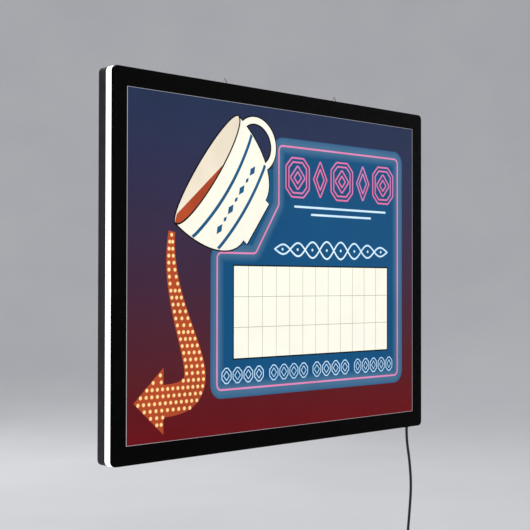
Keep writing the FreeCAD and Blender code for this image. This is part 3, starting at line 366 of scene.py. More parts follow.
def dusk_print():
    """The picture's ground: dark blue at the top to deep red at the bottom."""
    look = Look("print_ground")
    height = look.part_of(look.place(), "Z")
    share = look.between(height, 0.0, 1.0, DUSK_LOW, DUSK_HIGH)
    return finish_print(look, look.ramp(share, DUSK))


def field_print():
    """Blue field whose haze follows the neon line; V says how far across the haze a point is."""
    look = Look("print_field")
    across = look.part_of(look.add("UVMap").outputs["UV"], "Y")
    drift = look.between(look.noise(18.0, 2.0), -0.03, 0.03)
    moved = look.add("Math", {"operation": "ADD"})
    look.set(moved, {0: across, 1: drift})
    haze = look.ramp(moved.outputs[0], [
        (0.00, FIELD_BLUE), (0.14, FIELD_BLUE), (0.34, tone(54, 102, 142)), (0.52, HAZE_BLUE),
        (0.72, HAZE_BLUE), (0.90, tone(64, 108, 146)), (1.00, RIM_BLUE)])
    return finish_print(look, haze)


def neon_print(name, edge, core, glow=1.0):
    """A drawn neon line: paler in the middle of its width, uneven along its length."""
    look = Look(name)
    coordinates = look.add("UVMap").outputs["UV"]
    across = look.part_of(coordinates, "Y")
    band = look.ramp(across, [(0.0, edge), (0.5, core), (1.0, edge)], "EASE")
    patches = look.between(look.noise(30.0, 2.0), 0.0, 0.75, 0.42, 0.62)
    return finish_print(look, look.mix(patches, edge, band), glow)


def flat_print(name, first, second, scale=25.0, glow=PRINT_GLOW):
    """One ink with a slow drift between two close tones."""
    look = Look(name)
    drift = look.between(look.noise(scale, 3.0), 0.0, 1.0, 0.35, 0.65)
    return finish_print(look, look.mix(drift, first, second), glow)


def bulb_print():
    """Bulbs: V is 0 in the middle of a bulb and 1 at its rim."""
    look = Look("print_bulbs")
    outwards = look.part_of(look.add("UVMap").outputs["UV"], "Y")
    glow = look.ramp(outwards, [(0.0, BULB_CORE), (0.55, BULB_CORE), (0.85, BULB_EDGE),
                                (1.0, COFFEE)])
    return finish_print(look, glow, 1.0)


BLACK = (0.001, 0.001, 0.0011, 1.0)
LOOKS = {
    "bezel": moulded("bezel_black", BLACK, 0.50, 1400.0, 0.00002,
                     wear=(0.004, 0.004, 0.0044, 1.0), Specular_IOR_Level=0.025),
    "print": dusk_print(),
    "diffuser": moulded("diffuser_opal", (0.86, 0.87, 0.88, 1.0), 0.5, 900.0, 0.00003, 0.03),
    "clear_acrylic": moulded("guide_acrylic", (0.80, 0.84, 0.86, 1.0), 0.15, 500.0, 0.00002,
                             0.03),
    "reflector": moulded("reflector_white", (0.90, 0.90, 0.90, 1.0), 0.55, 700.0, 0.00004,
                         0.03),
    "halo": opal("halo_opal"),
    "housing": moulded("tray_charcoal", (0.020, 0.020, 0.022, 1.0), 0.55, 1500.0, 0.00008, 0.22,
                       wear=(0.034, 0.034, 0.037, 1.0), Specular_IOR_Level=0.35),
    "screws": metal("screw_zinc", (0.46, 0.45, 0.43, 1.0), 0.34, (900.0, 900.0, 200.0)),
    "label": moulded("label_film", (0.62, 0.63, 0.64, 1.0), 0.38, 2200.0, 0.00001, 0.05),
    "strip": circuit_board("strip_white", (0.78, 0.79, 0.78, 1.0), (0.70, 0.66, 0.52, 1.0),
                           260.0),
    "lamp": moulded("lamp_phosphor", (0.80, 0.66, 0.22, 1.0), 0.35, 2500.0, 0.00002, 0.08),
    "jumper": moulded("jumper_white", (0.62, 0.62, 0.60, 1.0), 0.42, 1600.0, 0.00002, 0.06),
    "board": circuit_board("board_green", (0.012, 0.11, 0.045, 1.0), (0.03, 0.20, 0.08, 1.0),
                           330.0),
    "terminal": moulded("terminal_green", (0.02, 0.22, 0.10, 1.0), 0.4, 1200.0, 0.00003),
    "clamp": moulded("clamp_grey", (0.09, 0.09, 0.095, 1.0), 0.5, 1300.0, 0.00004),
    "cord": moulded("lead_black", (0.006, 0.006, 0.007, 1.0), 0.44, 2400.0, 0.00003,
                    Specular_IOR_Level=0.4),
    "lead_red": moulded("core_red", (0.42, 0.012, 0.010, 1.0), 0.4, 2400.0, 0.00002),
    "lead_black": moulded("core_black", (0.010, 0.010, 0.011, 1.0), 0.4, 2400.0, 0.00002),
    "grommet": moulded("grommet_rubber", (0.010, 0.010, 0.011, 1.0), 0.62, 1700.0, 0.00006),
    "hanger_steel": metal("hanger_nickel", (0.34, 0.33, 0.32, 1.0), 0.30,
                          (1400.0, 300.0, 1400.0)),
    "tie": moulded("tie_woven", (0.014, 0.014, 0.016, 1.0), 0.78, 2600.0, 0.00018, 0.3),
    "adapter": moulded("adapter_black", (0.008, 0.008, 0.009, 1.0), 0.46, 1300.0, 0.00007,
                       wear=(0.022, 0.022, 0.023, 1.0), Specular_IOR_Level=0.4),
    "blades": metal("blade_nickel", (0.70, 0.66, 0.58, 1.0), 0.22, (1500.0, 1500.0, 120.0)),
    "transformer": moulded("core_laminate", (0.10, 0.095, 0.09, 1.0), 0.5, 900.0, 0.00006),
    "capacitor": moulded("capacitor_sleeve", (0.02, 0.03, 0.09, 1.0), 0.3, 1500.0, 0.00002),
}

for carried in NODES.values():
    for place in carried.material_slots:
        place.material = LOOKS[place.material.name.split(".")[0]]
lead.data.materials.append(LOOKS["cord"])


# ---- shapes of the picture ---------------------------------------------------
# Outlines are lists of (x, z) in millimetres, clockwise as seen from the front. The picture's
# layers lie on the panel like coats of ink, and each front is a little higher than what it covers.

PANEL_FACE = 22.8
MARGIN_FRONT = PANEL_FACE + 0.06
CORNER_FRONT = PANEL_FACE + 0.08
FIELD_FRONT = PANEL_FACE + 0.12
FRAME_BASE = PANEL_FACE + 0.10
LINE_BASE = PANEL_FACE + 0.11
BOARD_EDGE_FRONT = PANEL_FACE + 0.18
BOARD_FRONT = PANEL_FACE + 0.26
COLUMN_FRONT = PANEL_FACE + 0.30
ROW_FRONT = PANEL_FACE + 0.31
HANDLE_INK_FRONT = PANEL_FACE + 0.28
CUP_INK_FRONT = PANEL_FACE + 0.30
HANDLE_FRONT = PANEL_FACE + 0.36
CUP_FRONT = PANEL_FACE + 0.38
CUP_INSIDE_FRONT = PANEL_FACE + 0.44
STRIPE_FRONT = PANEL_FACE + 0.46
STRIPE_REAR = PANEL_FACE + 0.2
DRINK_FRONT = PANEL_FACE + 0.50
ARROW_FRONT = PANEL_FACE + 0.20


class Relief:
    """Collects thin raised shapes on the panel and makes one closed mesh of them."""

    def __init__(self, name, look):
        self.name = name
        self.look = look
        self.points = []
        self.faces = []
        self.marks = []

    def point(self, x, depth, z, mark=(0.0, 0.0)):
        self.points.append((x * MM, -depth * MM, z * MM))
        self.marks.append(mark)
        return len(self.points) - 1

    def slab(self, outlines, front, rear=PANEL_FACE):
        """A flat plate: the first outline is its edge, the others are holes in it."""
        layers = []
        for depth in (front, rear):
            layers.append([[self.point(x, depth, z) for x, z in outline] for outline in outlines])
        corners = [[Vector((x, z, 0.0)) for x, z in outline] for outline in outlines]
        flat_front = [index for loop in layers[0] for index in loop]
        flat_rear = [index for loop in layers[1] for index in loop]
        for a, b, c in tessellate_polygon(corners):
            self.faces.append((flat_front[a], flat_front[b], flat_front[c]))
            self.faces.append((flat_rear[c], flat_rear[b], flat_rear[a]))
        for near, far in zip(*layers):
            self.wall(near, far)

    def wall(self, near, far):
        count = len(near)
        for index in range(count):
            after = (index + 1) % count
            self.faces.append((near[index], far[index], far[after], near[after]))

    def rings(self, outlines, marks, front, rear=PANEL_FACE):
        """A plate of rings from the edge inwards, each with its own V, filled in the middle."""
        loops = []
        for outline, mark in zip(outlines, marks):
            loops.append([self.point(x, front, z, (0.0, mark)) for x, z in outline])
        for outer, inner in zip(loops, loops[1:]):
            self.wall(outer, inner)
        inside = outlines[-1]
        middle = [Vector((x, z, 0.0)) for x, z in inside]
        for a, b, c in tessellate_polygon([middle]):
            self.faces.append((loops[-1][a], loops[-1][b], loops[-1][c]))
        behind = [self.point(x, rear, z, (0.0, marks[0])) for x, z in outlines[0]]
        self.wall(loops[0], behind)
        edge = [Vector((x, z, 0.0)) for x, z in outlines[0]]
        for a, b, c in tessellate_polygon([edge]):
            self.faces.append((behind[c], behind[b], behind[a]))

    def stroke(self, path, width, height, closed=False, base=PANEL_FACE, columns=7):
        """A domed line along a path, with round ends when it is open."""
        sections = line_sections(path, closed)
        if not closed:
            sections = end_sections(sections[0], -1, width) + sections
            sections += end_sections(sections[-1], 1, width)[::-1]
        loops = []
        along = 0.0
        before = sections[0][0]
        for centre, side, size in sections:
            along += math.dist(centre, before)
            before = centre
            loop = []
            for column in range(columns):
                angle = math.pi * column / (columns - 1)
                reach = -math.cos(angle) * width / 2 * size
                rise = math.sin(angle) * height * size
                mark = (along * MM, column / (columns - 1))
                loop.append(self.point(centre[0] + side[0] * reach, base + rise,
                                       centre[1] + side[1] * reach, mark))
            loops.append(loop)
        pairs = list(zip(loops, loops[1:]))
        if closed:
            pairs.append((loops[-1], loops[0]))
        for near, far in pairs:
            self.wall(near, far)
        if not closed:
            self.faces.append(tuple(loops[0]))
            self.faces.append(tuple(loops[-1][::-1]))

    def dome(self, x, z, radius, height, base, steps=12):
        """A low round dome; V is 0 at its top and 1 at its rim."""
        profile = [(1.0, 0.0), (0.86, 0.45), (0.55, 0.85)]
        loops = []
        for reach, rise in profile:
            loop = []
            for step in range(steps):
                angle = -2 * math.pi * step / steps
                loop.append(self.point(x + radius * reach * math.cos(angle), base + height * rise,
                                       z + radius * reach * math.sin(angle), (0.0, reach)))
            loops.append(loop)
        for outer, inner in zip(loops, loops[1:]):
            self.wall(outer, inner)
        self.faces.append(tuple(loops[-1]))
        self.faces.append(tuple(loops[0][::-1]))

    def make(self, smooth=False):
        mesh = bpy.data.meshes.new(self.name)
        mesh.from_pydata(self.points, [], self.faces)
        layer = mesh.uv_layers.new(name="marks")
        for loop in mesh.loops:
            layer.data[loop.index].uv = self.marks[loop.vertex_index]
        mesh.polygons.foreach_set("use_smooth", [smooth] * len(mesh.polygons))
        mesh.materials.append(self.look)
        piece = bpy.data.objects.new(self.name, mesh)
        bpy.context.collection.objects.link(piece)
        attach(piece, "root")
        return piece


def line_sections(path, closed):
    """Middle, sideways direction and size at each point of a path."""
    count = len(path)
    sections = []
    for index, here in enumerate(path):
        before = path[index - 1] if closed or index else here
        after = path[(index + 1) % count] if closed or index < count - 1 else here
        ahead = Vector((after[0] - before[0], after[1] - before[1])).normalized()
        sections.append((here, (-ahead.y, ahead.x), 1.0))
    return sections


def end_sections(section, way, width, steps=4):
    """Shrinking sections that round off one end of a line."""
    (x, z), (side_x, side_z), _ = section
    ahead = (side_z * way, -side_x * way)
    ends = []
    for step in range(steps, 0, -1):
        angle = math.pi / 2 * step / steps
        reach = math.sin(angle) * width / 2
        size = max(0.04, math.cos(angle))
        ends.append(((x + ahead[0] * reach, z + ahead[1] * reach), (side_x, side_z), size))
    return ends


def rounded(corners, radius, grow=0.0, steps=7):
    """Closed outline with round corners, moved outwards by grow; corners go clockwise."""
    outline = []
    count = len(corners)
    for index in range(count):
        before = Vector(corners[index - 1])
        here = Vector(corners[index])
        after = Vector(corners[(index + 1) % count])
        came = (here - before).normalized()
        goes = (after - here).normalized()
        left_in = Vector((-came.y, came.x))
        left_out = Vector((-goes.y, goes.x))
        here = here + (left_in + left_out) / (1 + left_in.dot(left_out)) * grow
        turn = math.atan2(came.cross(goes), came.dot(goes))
        bend = max(0.3, radius + (grow if turn < 0 else -grow))
        hand = 1 if turn > 0 else -1
        start = here - came * (bend * math.tan(abs(turn) / 2))
        centre = start + left_in * (bend * hand)
        arm = start - centre
        for step in range(steps + 1):
            angle = turn * step / steps
            outline.append((centre.x + arm.x * math.cos(angle) - arm.y * math.sin(angle),
                            centre.y + arm.x * math.sin(angle) + arm.y * math.cos(angle)))
    return outline


def grown(outline, distance):
    """Outline moved outwards; it goes clockwise."""
    moved = []
    for (x, z), (side_x, side_z), _ in line_sections(outline, True):
        moved.append((x + side_x * distance, z + side_z * distance))
    return moved


def clockwise(outline):
    """The outline, turned round if its signed area shows that it goes anticlockwise."""
    total = 0.0
    for (x0, z0), (x1, z1) in zip(outline, outline[1:] + outline[:1]):
        total += x0 * z1 - x1 * z0
    return outline[::-1] if total > 0 else outline


def box_outline(left, low, right, high):
    return [(left, high), (right, high), (right, low), (left, low)]


# ---- light margin and blue field ---------------------------------------------

MARGIN_EDGE = (236.1, 183.5)
MARGIN_WIDTHS = (1.45, 0.55, 0.35)
FIELD_CORNERS = [(-13.5, 141.4), (204.5, 141.4), (204.5, -134.7), (-110.0, -134.7),
                 (-110.0, 16.0), (-51.0, 16.0), (-13.5, 72.8)]
FIELD_CORNER_FILL = [(-41.0, 113.0), (-16.0, 113.0), (-16.0, 72.0), (-52.0, 18.0), (-75.0, 18.0),
                     (-75.0, 24.0), (-41.0, 77.0)]
FIELD_BEND = 6.4
FIELD_REACH = 9.6
HAZE_DEPTH = 14.0
RIM_STEPS = (0.0, 0.9, 2.4, 4.8, 7.2)
HAZE_STEPS = (0.0, 0.2, 0.4, 0.6, 0.8, 1.0)
NEON_WIDTH = 2.1
NEON_RISE = 0.30


def light_margin():
    """Unprinted strip beside the bezel, where the light comes straight through."""
    strip = Relief("margin_light",
                   flat_print("print_margin", MARGIN_LIGHT, tone(190, 190, 196), 8.0))
    x, z = MARGIN_EDGE
    left, right, level = MARGIN_WIDTHS
    inner = box_outline(left - x, level - z, x - right, z - level)
    strip.slab([box_outline(-x, -z, x, z), inner], MARGIN_FRONT)
    strip.make()


def blue_field():
    """Plate in rings, so that its haze can follow the neon line, and a patch at the cut corner."""
    field = Relief("blue_field", field_print())
    grows = [FIELD_REACH - step for step in RIM_STEPS]
    grows += [-HAZE_DEPTH * share for share in HAZE_STEPS]
    marks = [(grow + HAZE_DEPTH) / (FIELD_REACH + HAZE_DEPTH) for grow in grows]
    field.rings([rounded(FIELD_CORNERS, FIELD_BEND, grow) for grow in grows], marks,
                FIELD_FRONT)
    field.make()
    fill = Relief("field_corner",
                  flat_print("print_field_corner", FIELD_BLUE, tone(28, 90, 134)))
    fill.slab([FIELD_CORNER_FILL], CORNER_FRONT)
    fill.make()


def neon_frame():
    line = Relief("neon_frame", neon_print("print_neon_frame", NEON_PINK, NEON_CORE))
    line.stroke(rounded(FIELD_CORNERS, FIELD_BEND), NEON_WIDTH, NEON_RISE, closed=True,
                base=FRAME_BASE)
    line.make(smooth=True)


# ---- headline, bars, flourish and bottom row -----------------------------------

HEADLINE_BOX = (-2.8, 82.2, 196.3, 130.0)
HEADLINE_WIDTHS = (42.0, 26.0, 42.0, 26.0, 42.0)
HEADLINE_LINE = 2.1
HEADLINE_STEP = 4.9
HEADLINE_DIAMOND_STEP = 0.9
HEADLINE_CUT = 0.5
HEADLINE_MIDDLE = (8.4, 9.6)
HEADLINE_BENDS = (4.0, 2.0)
LINE_RISE = 0.26
BARS = [((13.4, 179.7), 72.1), ((42.3, 150.5), 63.6)]
BAR_WIDTH = 2.5
BAR_STEPS = 24
FLOURISH_BOX = (-20.0, 8.3, 183.8, 35.3)
FLOURISH_WAVES = 8
FLOURISH_LINE = 2.1
FLOURISH_SWELL = (0.42, 0.58)
FLOURISH_FLATTEN = 2.6
FLOURISH_LAP = 0.05
BEAD_RADIUS = 1.7
BEAD_RISE = 0.28
BOTTOM_GROUPS = [(-104.0, -36.8, 4), (-29.6, 37.1, 4), (43.4, 111.1, 4), (118.8, 195.2, 5)]
BOTTOM_LOW, BOTTOM_HIGH = -128.6, -110.6
BOTTOM_GAP = 0.9
BOTTOM_CUT = 0.7
BOTTOM_MIDDLE = (2.6, 3.2)
BOTTOM_RISE = 0.2


def diamond(x, z, half_width, half_height):
    return [(x, z + half_height), (x + half_width, z), (x, z - half_height), (x - half_width, z)]


def cut_box(x, z, half_width, half_height, cut):
    """Upright box with its corners cut off."""
    right, high = half_width - cut, half_height - cut
    return [(x - right, z + half_height), (x + right, z + half_height),
            (x + half_width, z + high), (x + half_width, z - high),
            (x + right, z - half_height), (x - right, z - half_height),
            (x - half_width, z - high), (x - half_width, z + high)]


def headline():
    """A row of jewels in double pink lines: wide cut boxes and narrow diamonds in turn."""
    lines = Relief("neon_headline",
                   neon_print("print_neon_headline", HEADLINE_PINK, HEADLINE_CORE, 0.92))
    left, low, right, high = HEADLINE_BOX
    gap = (right - left - sum(HEADLINE_WIDTHS)) / (len(HEADLINE_WIDTHS) - 1)
    z = (low + high) / 2
    half_height = (high - low) / 2
    soft, sharp = HEADLINE_BENDS
    for place, width in enumerate(HEADLINE_WIDTHS):
        x = left + width / 2
        left += width + gap
        half_width = width / 2
        if place % 2:
            corners = diamond(x, z, half_width, half_height)
            outlines = [rounded(corners, sharp, -HEADLINE_LINE / 2
                                - HEADLINE_STEP * ring * HEADLINE_DIAMOND_STEP, 4)
                        for ring in range(2)]
        else:
            box = cut_box(x, z, half_width, half_height, half_width * HEADLINE_CUT)
            middle = diamond(x, z, half_width - HEADLINE_MIDDLE[0],
                             half_height - HEADLINE_MIDDLE[1])
            outlines = [rounded(box, soft, -HEADLINE_LINE / 2 - HEADLINE_STEP * ring, 4)
                        for ring in range(2)]
            outlines += [rounded(middle, sharp, -HEADLINE_STEP * ring, 4) for ring in range(2)]
        for outline in outlines:
            lines.stroke(outline, HEADLINE_LINE, LINE_RISE, closed=True, base=LINE_BASE)
    lines.make(smooth=True)


def white_bars():
    bars = Relief("white_bars", neon_print("print_ice", ICE_WHITE, tone(222, 242, 254)))
    for (left, right), z in BARS:
        path = [(left + (right - left) * step / BAR_STEPS, z) for step in range(BAR_STEPS + 1)]
        bars.stroke(path, BAR_WIDTH, LINE_RISE, base=LINE_BASE)
    bars.make(smooth=True)


def flourish():
    """Two waves that cross, small at the ends and tall in the middle, with beads in the eyes."""
    waves = Relief("white_flourish",
                   neon_print("print_flourish", ICE_WHITE, tone(236, 248, 255)))
    at_ends, added = FLOURISH_SWELL
    left, low, right, high = FLOURISH_BOX
    middle = (low + high) / 2
    steps = FLOURISH_WAVES * 20
    for hand in (1, -1):
        path = []
        for step in range(steps + 1):
            share = step / steps
            swell = at_ends + added * math.sin(math.pi * share)
            z = middle + (hand * swell * (high - low) / FLOURISH_FLATTEN
                          * math.sin(math.pi * FLOURISH_WAVES * share))
            path.append((left + (right - left) * share, z))
        waves.stroke(path, FLOURISH_LINE, LINE_RISE + FLOURISH_LAP * hand, base=LINE_BASE)
    for index in range(FLOURISH_WAVES):
        share = (index + 0.5) / FLOURISH_WAVES
        waves.dome(left + (right - left) * share, middle, BEAD_RADIUS, BEAD_RISE, LINE_BASE)
    waves.make(smooth=True)


def bottom_row():
    """Four groups of small cut boxes in double outlines."""
    row = Relief("outlined_row", neon_print("print_outline", PALE_BLUE, tone(214, 236, 252)))
    z = (BOTTOM_LOW + BOTTOM_HIGH) / 2
    half_height = (BOTTOM_HIGH - BOTTOM_LOW) / 2
    for left, right, count in BOTTOM_GROUPS:
        pitch = (right - left) / count
        for index in range(count):
            x = left + pitch * (index + 0.5)
            half_width = pitch / 2 - BOTTOM_GAP
            box = cut_box(x, z, half_width, half_height, half_width * BOTTOM_CUT)
            middle = diamond(x, z, half_width - BOTTOM_MIDDLE[0], half_height - BOTTOM_MIDDLE[1])
            for outline, width in ((rounded(box, 1.5, -0.6, 3), 1.25),
                                   (rounded(middle, 0.8, -0.4, 3), 1.0)):
                row.stroke(outline, width, BOTTOM_RISE, closed=True, base=LINE_BASE, columns=5)
    row.make()


# ---- board with cells -----------------------------------------------------------

BOARD_BOX = (-84.6, -100.9, 183.2, 1.5)
BOARD_CELLS = (12, 3)
BOARD_LINE = 1.6
GRID_WIDTH = 0.75


def cell_board():
    """Cream board in a dark edge, divided into cells by thin lines."""
    left, low, right, high = BOARD_BOX
    edge = Relief("board_outline",
                  flat_print("print_board_outline", OUTLINE_INK, darker(OUTLINE_INK, 0.5)))
    edge.slab([box_outline(left - BOARD_LINE, low - BOARD_LINE,
                           right + BOARD_LINE, high + BOARD_LINE)], BOARD_EDGE_FRONT)
    edge.make()
    board = Relief("cell_board",
                   flat_print("print_cream", CREAM, tone(247, 245, 228), 12.0, WHITE_GLOW))
    board.slab([box_outline(left, low, right, high)], BOARD_FRONT)
    board.make()
    grid = Relief("cell_lines", flat_print("print_grid", GRID_LINE, tone(188, 187, 176), 9.0))
    columns, rows = BOARD_CELLS
    for column in range(1, columns):
        x = left + (right - left) * column / columns
        grid.slab([box_outline(x - GRID_WIDTH / 2, low, x + GRID_WIDTH / 2, high)], COLUMN_FRONT)
    for row in range(1, rows):
        z = low + (high - low) * row / rows
        grid.slab([box_outline(left, z - GRID_WIDTH / 2, right, z + GRID_WIDTH / 2)], ROW_FRONT)
    grid.make()


# ---- cup --------------------------------------------------------------------------

CUP_RIM = (-123.9, 107.0)
CUP_ALONG = Vector((-0.601, -0.799))
CUP_AWAY = Vector((0.787, -0.592))
CUP_HALF = 76.5
RIM_BACK, RIM_FRONT = 12.8, 15.8
FOOT_HALF = 29.0
BOWL_DEPTH = 90.0
FOOT_DEPTH = 97.0
HANDLE_CENTRE = (-70.0, 40.0)
HANDLE_OUTER = (30.0, 33.0)
HANDLE_INNER = (22.5, 25.5)
INK_WIDTH = 1.6
RIM_LINE = 1.9
STRIPE_HALF_WIDTH = 2.0
STRIPE_GAP = 0.4
STRIPES = [(27.6, 10.0), (65.0, 6.0)]
STRIPE_STEPS = 24
STRIPE_ROUNDING = 0.8
LEAVES = (-42.0, 42.0, 53.6, 7)
LEAF_HALVES = (7.2, 3.8)
SMALL_LEAF = 0.55
DRINK_ENDS = (-21.0, 67.5)
DRINK_BACK = 0.8
RIM_LINE_RISE = 0.12


def on_cup(points):
    """Points given along the cup's rim and away from it, as (x, z)."""
    placed = []
    for along, away in points:
        place = Vector(CUP_RIM) + CUP_ALONG * along + CUP_AWAY * away
        placed.append((place.x, place.y))
    return placed


def rim_arc(start, end, depth, steps=26):
    """Part of the rim's ellipse, on its back or its front side."""
    arc = []
    for step in range(steps + 1):
        along = start + (end - start) * (1 - math.cos(math.pi * step / steps)) / 2
        share = max(0.0, 1 - (along / CUP_HALF) ** 2)
        arc.append((along, depth * math.sqrt(share)))
    return arc


def bowl_half(away):
    """Half the bowl's width, which follows a quarter of an ellipse."""
    share = min(1.0, away / BOWL_DEPTH)
    return FOOT_HALF + (CUP_HALF - FOOT_HALF) * math.sqrt(1 - share * share)


def cup_outline(steps=20):
    """The back of the rim, the bowl's side, the foot, and the other side."""
    depths = [BOWL_DEPTH * math.sin(math.pi / 2 * step / steps) for step in range(1, steps + 1)]
    side = [(bowl_half(away), away) for away in depths] + [(FOOT_HALF, FOOT_DEPTH)]
    other = [(-along, away) for along, away in side[::-1]]
    return on_cup(rim_arc(-CUP_HALF, CUP_HALF, -RIM_BACK) + side + other)


def handle_oval(reaches, steps=40):
    """One edge of the handle's ring, which the bowl half covers."""
    oval = []
    for step in range(steps):
        angle = 2 * math.pi * step / steps
        oval.append((HANDLE_CENTRE[0] + reaches[0] * math.cos(angle),
                     HANDLE_CENTRE[1] + reaches[1] * math.sin(angle)))
    return on_cup(oval)


def stripe(away, bulge):
    """A band across the bowl, bowed away from the rim, from side to side."""
    end = bowl_half(away + STRIPE_HALF_WIDTH) - STRIPE_GAP
    start = -end
    edges = []
    for offset in (-STRIPE_HALF_WIDTH, STRIPE_HALF_WIDTH):
        edge = []
        for step in range(STRIPE_STEPS + 1):
            share = step / STRIPE_STEPS
            along = start + (end - start) * share
            bow = bulge * math.sin(math.pi * share) ** STRIPE_ROUNDING
            edge.append((along, away + offset + bow))
        edges.append(edge)
    return edges[0] + edges[1][::-1]


def cup():
    """The cup's layers from its ink outline up to the drink, the rim line and the decoration."""
    body = clockwise(cup_outline())
    outer = clockwise(handle_oval(HANDLE_OUTER))
    hole = clockwise(handle_oval(HANDLE_INNER))
    ink = Relief("cup_outline", flat_print("print_ink", OUTLINE_INK, darker(OUTLINE_INK, 0.5)))
    ink.slab([grown(body, INK_WIDTH)], CUP_INK_FRONT)
    ink.slab([grown(outer, INK_WIDTH), grown(hole, -INK_WIDTH)], HANDLE_INK_FRONT)
    ink.make()
    china = Relief("cup_body",
                   flat_print("print_china", CREAM, tone(246, 243, 226), 16.0, WHITE_GLOW))
    china.slab([body], CUP_FRONT)
    china.slab([outer, hole], HANDLE_FRONT)
    china.make()
    inside = Relief("cup_inside",
                    flat_print("print_inside", CREAM_INSIDE, tone(246, 232, 209), 20.0))
    back = rim_arc(-CUP_HALF, CUP_HALF, -RIM_BACK)
    front = rim_arc(CUP_HALF, -CUP_HALF, RIM_FRONT)
    inside.slab([on_cup(back + front[1:-1])], CUP_INSIDE_FRONT)
    inside.make()
    drink = Relief("cup_drink", flat_print("print_drink", COFFEE, COFFEE_DEEP, 22.0))
    front_end, back_end = DRINK_ENDS
    pool = (rim_arc(CUP_HALF, front_end, RIM_FRONT)
            + rim_arc(back_end, CUP_HALF, -RIM_BACK * DRINK_BACK)[:-1])
    drink.slab([on_cup(pool)], DRINK_FRONT)
    drink.make()
    lip = Relief("cup_rim_line", flat_print("print_rim_line", OUTLINE_INK, tone(40, 40, 44)))
    lip.stroke(on_cup(rim_arc(-CUP_HALF, CUP_HALF, RIM_FRONT)), RIM_LINE, RIM_LINE_RISE,
               base=DRINK_FRONT, columns=5)
    lip.make(smooth=True)
    bands = Relief("cup_stripes", flat_print("print_stripe", STRIPE_BLUE, tone(32, 96, 140), 30.0))
    for away, bulge in STRIPES:
        bands.slab([on_cup(stripe(away, bulge))], STRIPE_FRONT, STRIPE_REAR)
    start, end, away, count = LEAVES
    for index in range(count):
        along = start + (end - start) * index / (count - 1)
        size = 1.0 if index % 2 == 0 else SMALL_LEAF
        leaf = diamond(along, away, LEAF_HALVES[0] * size, LEAF_HALVES[1] * size)
        bands.slab([on_cup(leaf)[::-1]], STRIPE_FRONT, STRIPE_REAR)
    bands.make()


# ---- arrow --------------------------------------------------------------------------

ARROW_PATH = [(-175.0, 37.0), (-190.0, -60.0), (-86.0, -141.0), (-186.0, -141.0)]
ARROW_HALF_WIDTHS = (4.5, 17.0)
ARROW_HEAD_LENGTH = 40.0
ARROW_HEAD_HALF = 35.0
BULB_RADIUS = 2.35
BULB_PITCH = 7.36
BULB_TOP, BULB_BOTTOM = 33.4, -172.4
BULB_INSET = 3.2
BULB_RISE = 0.4
SINGLE_BULB_WIDTH = 4.8
PAIR_SHARE = 0.55


def crossings(outline, z):
    """The x values where an outline crosses a height, in order."""
    found = []
    for (x0, z0), (x1, z1) in zip(outline, outline[1:] + outline[:1]):
        if (z0 > z) != (z1 > z):
            found.append(x0 + (x1 - x0) * (z - z0) / (z1 - z0))
    return sorted(found)


def arrow_outline(steps=48):
    """A band that widens along one cubic curve, and a plain triangle for its head."""
    p0, p1, p2, p3 = (Vector(point) for point in ARROW_PATH)
    thin, wide = ARROW_HALF_WIDTHS
    near, far = [], []
    for step in range(steps + 1):
        t = step / steps
        middle = (p0 * (1 - t) ** 3 + p1 * (3 * t * (1 - t) ** 2) + p2 * (3 * t * t * (1 - t))
                  + p3 * t ** 3)
        ahead = ((p1 - p0) * (1 - t) ** 2 + (p2 - p1) * (2 * t * (1 - t))
                 + (p3 - p2) * t * t).normalized()
        side = Vector((-ahead.y, ahead.x)) * (thin + (wide - thin) * math.sin(math.pi / 2 * t))
        near.append(tuple(middle + side))
        far.append(tuple(middle - side))
    tip = p3 + ahead * ARROW_HEAD_LENGTH
    wing = Vector((-ahead.y, ahead.x)) * ARROW_HEAD_HALF
    return near + [tuple(p3 + wing), tuple(tip), tuple(p3 - wing)] + far[::-1]


def arrow():
    """Plate with rows of bulbs, evenly spread between its edges at each height."""
    outline = clockwise(arrow_outline())
    plate = Relief("arrow_plate", flat_print("print_arrow", COFFEE, tone(176, 74, 42), 22.0))
    plate.slab([outline], ARROW_FRONT)
    plate.make()
    bulbs = Relief("arrow_bulbs", bulb_print())
    rows = int((BULB_TOP - BULB_BOTTOM) / BULB_PITCH) + 1
    for row in range(rows):
        z = BULB_TOP - BULB_PITCH * row
        edges = crossings(outline, z)
        for left, right in zip(edges[::2], edges[1::2]):
            room = right - left - 2 * BULB_INSET
            if room < 0:
                if right - left > SINGLE_BULB_WIDTH:
                    bulbs.dome((left + right) / 2, z, BULB_RADIUS, BULB_RISE, ARROW_FRONT)
                continue
            gaps = max(1, round(room / BULB_PITCH))
            if room < BULB_PITCH * PAIR_SHARE:
                gaps = 0
            for index in range(gaps + 1):
                share = index / gaps if gaps else 0.5
                bulbs.dome(left + BULB_INSET + room * share, z, BULB_RADIUS, BULB_RISE,
                           ARROW_FRONT)
    bulbs.make(smooth=True)


light_margin()
blue_field()
neon_frame()
headline()
white_bars()
flourish()
bottom_row()
cell_board()
cup()
arrow()


# ---- studio -----------------------------------------------------------------------

FLOOR_HEIGHT = -0.522
FLOOR_FLAT = 2.7
FLOOR_RISE = 2.4
FLOOR_COLOURS = ((0.70, 0.70, 0.71, 1.0), (0.73, 0.73, 0.735, 1.0))
SKY_COLOUR = (0.92, 0.94, 1.0, 1.0)
SKY_STRENGTH = 0.55


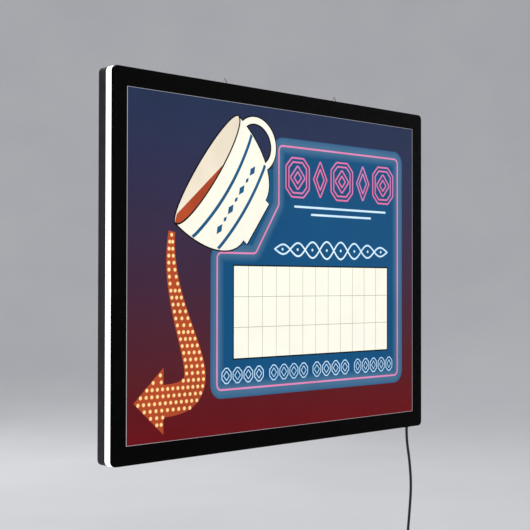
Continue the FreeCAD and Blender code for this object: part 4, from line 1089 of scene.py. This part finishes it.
def studio_floor(rings=28, steps=96):
    """Pale round floor whose rim curves up, so that no edge shows from any side."""
    points = [(0.0, 0.0, FLOOR_HEIGHT)]
    for ring in range(1, rings + 1):
        share = ring / rings
        if share <= 0.5:
            reach = FLOOR_FLAT * share * 2
            height = FLOOR_HEIGHT
        else:
            angle = (share - 0.5) * math.pi
            reach = FLOOR_FLAT + FLOOR_RISE * math.sin(angle)
            height = FLOOR_HEIGHT + FLOOR_RISE * (1 - math.cos(angle))
        for step in range(steps):
            turn = 2 * math.pi * step / steps
            points.append((reach * math.cos(turn), reach * math.sin(turn), height))
    faces = [(0, 1 + step, 1 + (step + 1) % steps) for step in range(steps)]
    for ring in range(rings - 1):
        base = 1 + ring * steps
        for step in range(steps):
            after = (step + 1) % steps
            faces.append((base + step, base + steps + step, base + steps + after, base + after))
    mesh = bpy.data.meshes.new("floor")
    mesh.from_pydata(points, [], faces)
    mesh.polygons.foreach_set("use_smooth", [True] * len(mesh.polygons))
    look = Look("floor_pale", Roughness=0.85)
    cloud = look.between(look.noise(3.0, 3.0), 0.0, 1.0, 0.35, 0.65)
    look.set(look.shader, {"Base Color": look.mix(cloud, *FLOOR_COLOURS)})
    mesh.materials.append(look.material)
    floor = bpy.data.objects.new("floor", mesh)
    bpy.context.collection.objects.link(floor)


def soft_light(name, place, aim, size, power):
    """Square area light that faces its aim."""
    data = bpy.data.lights.new(name, "AREA")
    data.shape = "SQUARE"
    data.size = size
    data.energy = power
    lamp = bpy.data.objects.new(name, data)
    bpy.context.collection.objects.link(lamp)
    lamp.location = place
    lamp.rotation_euler = (Vector(aim) - Vector(place)).to_track_quat("-Z", "Y").to_euler()


def studio_light():
    """Even pale surroundings, two soft lamps in front and one behind."""
    world = bpy.data.worlds.new("studio")
    world.use_nodes = True
    backdrop = world.node_tree.nodes["Background"]
    backdrop.inputs["Color"].default_value = SKY_COLOUR
    backdrop.inputs["Strength"].default_value = SKY_STRENGTH
    bpy.context.scene.world = world
    soft_light("key", (-1.3, -1.9, 1.7), (0.0, 0.0, 0.0), 1.5, 26.0)
    soft_light("fill", (1.9, -1.4, 0.9), (0.0, 0.0, -0.1), 1.8, 12.0)
    soft_light("behind", (0.6, 2.2, 1.3), (0.0, 0.0, -0.1), 1.8, 22.0)


studio_floor()
studio_light()
bpy.context.scene.view_settings.view_transform = "Standard"
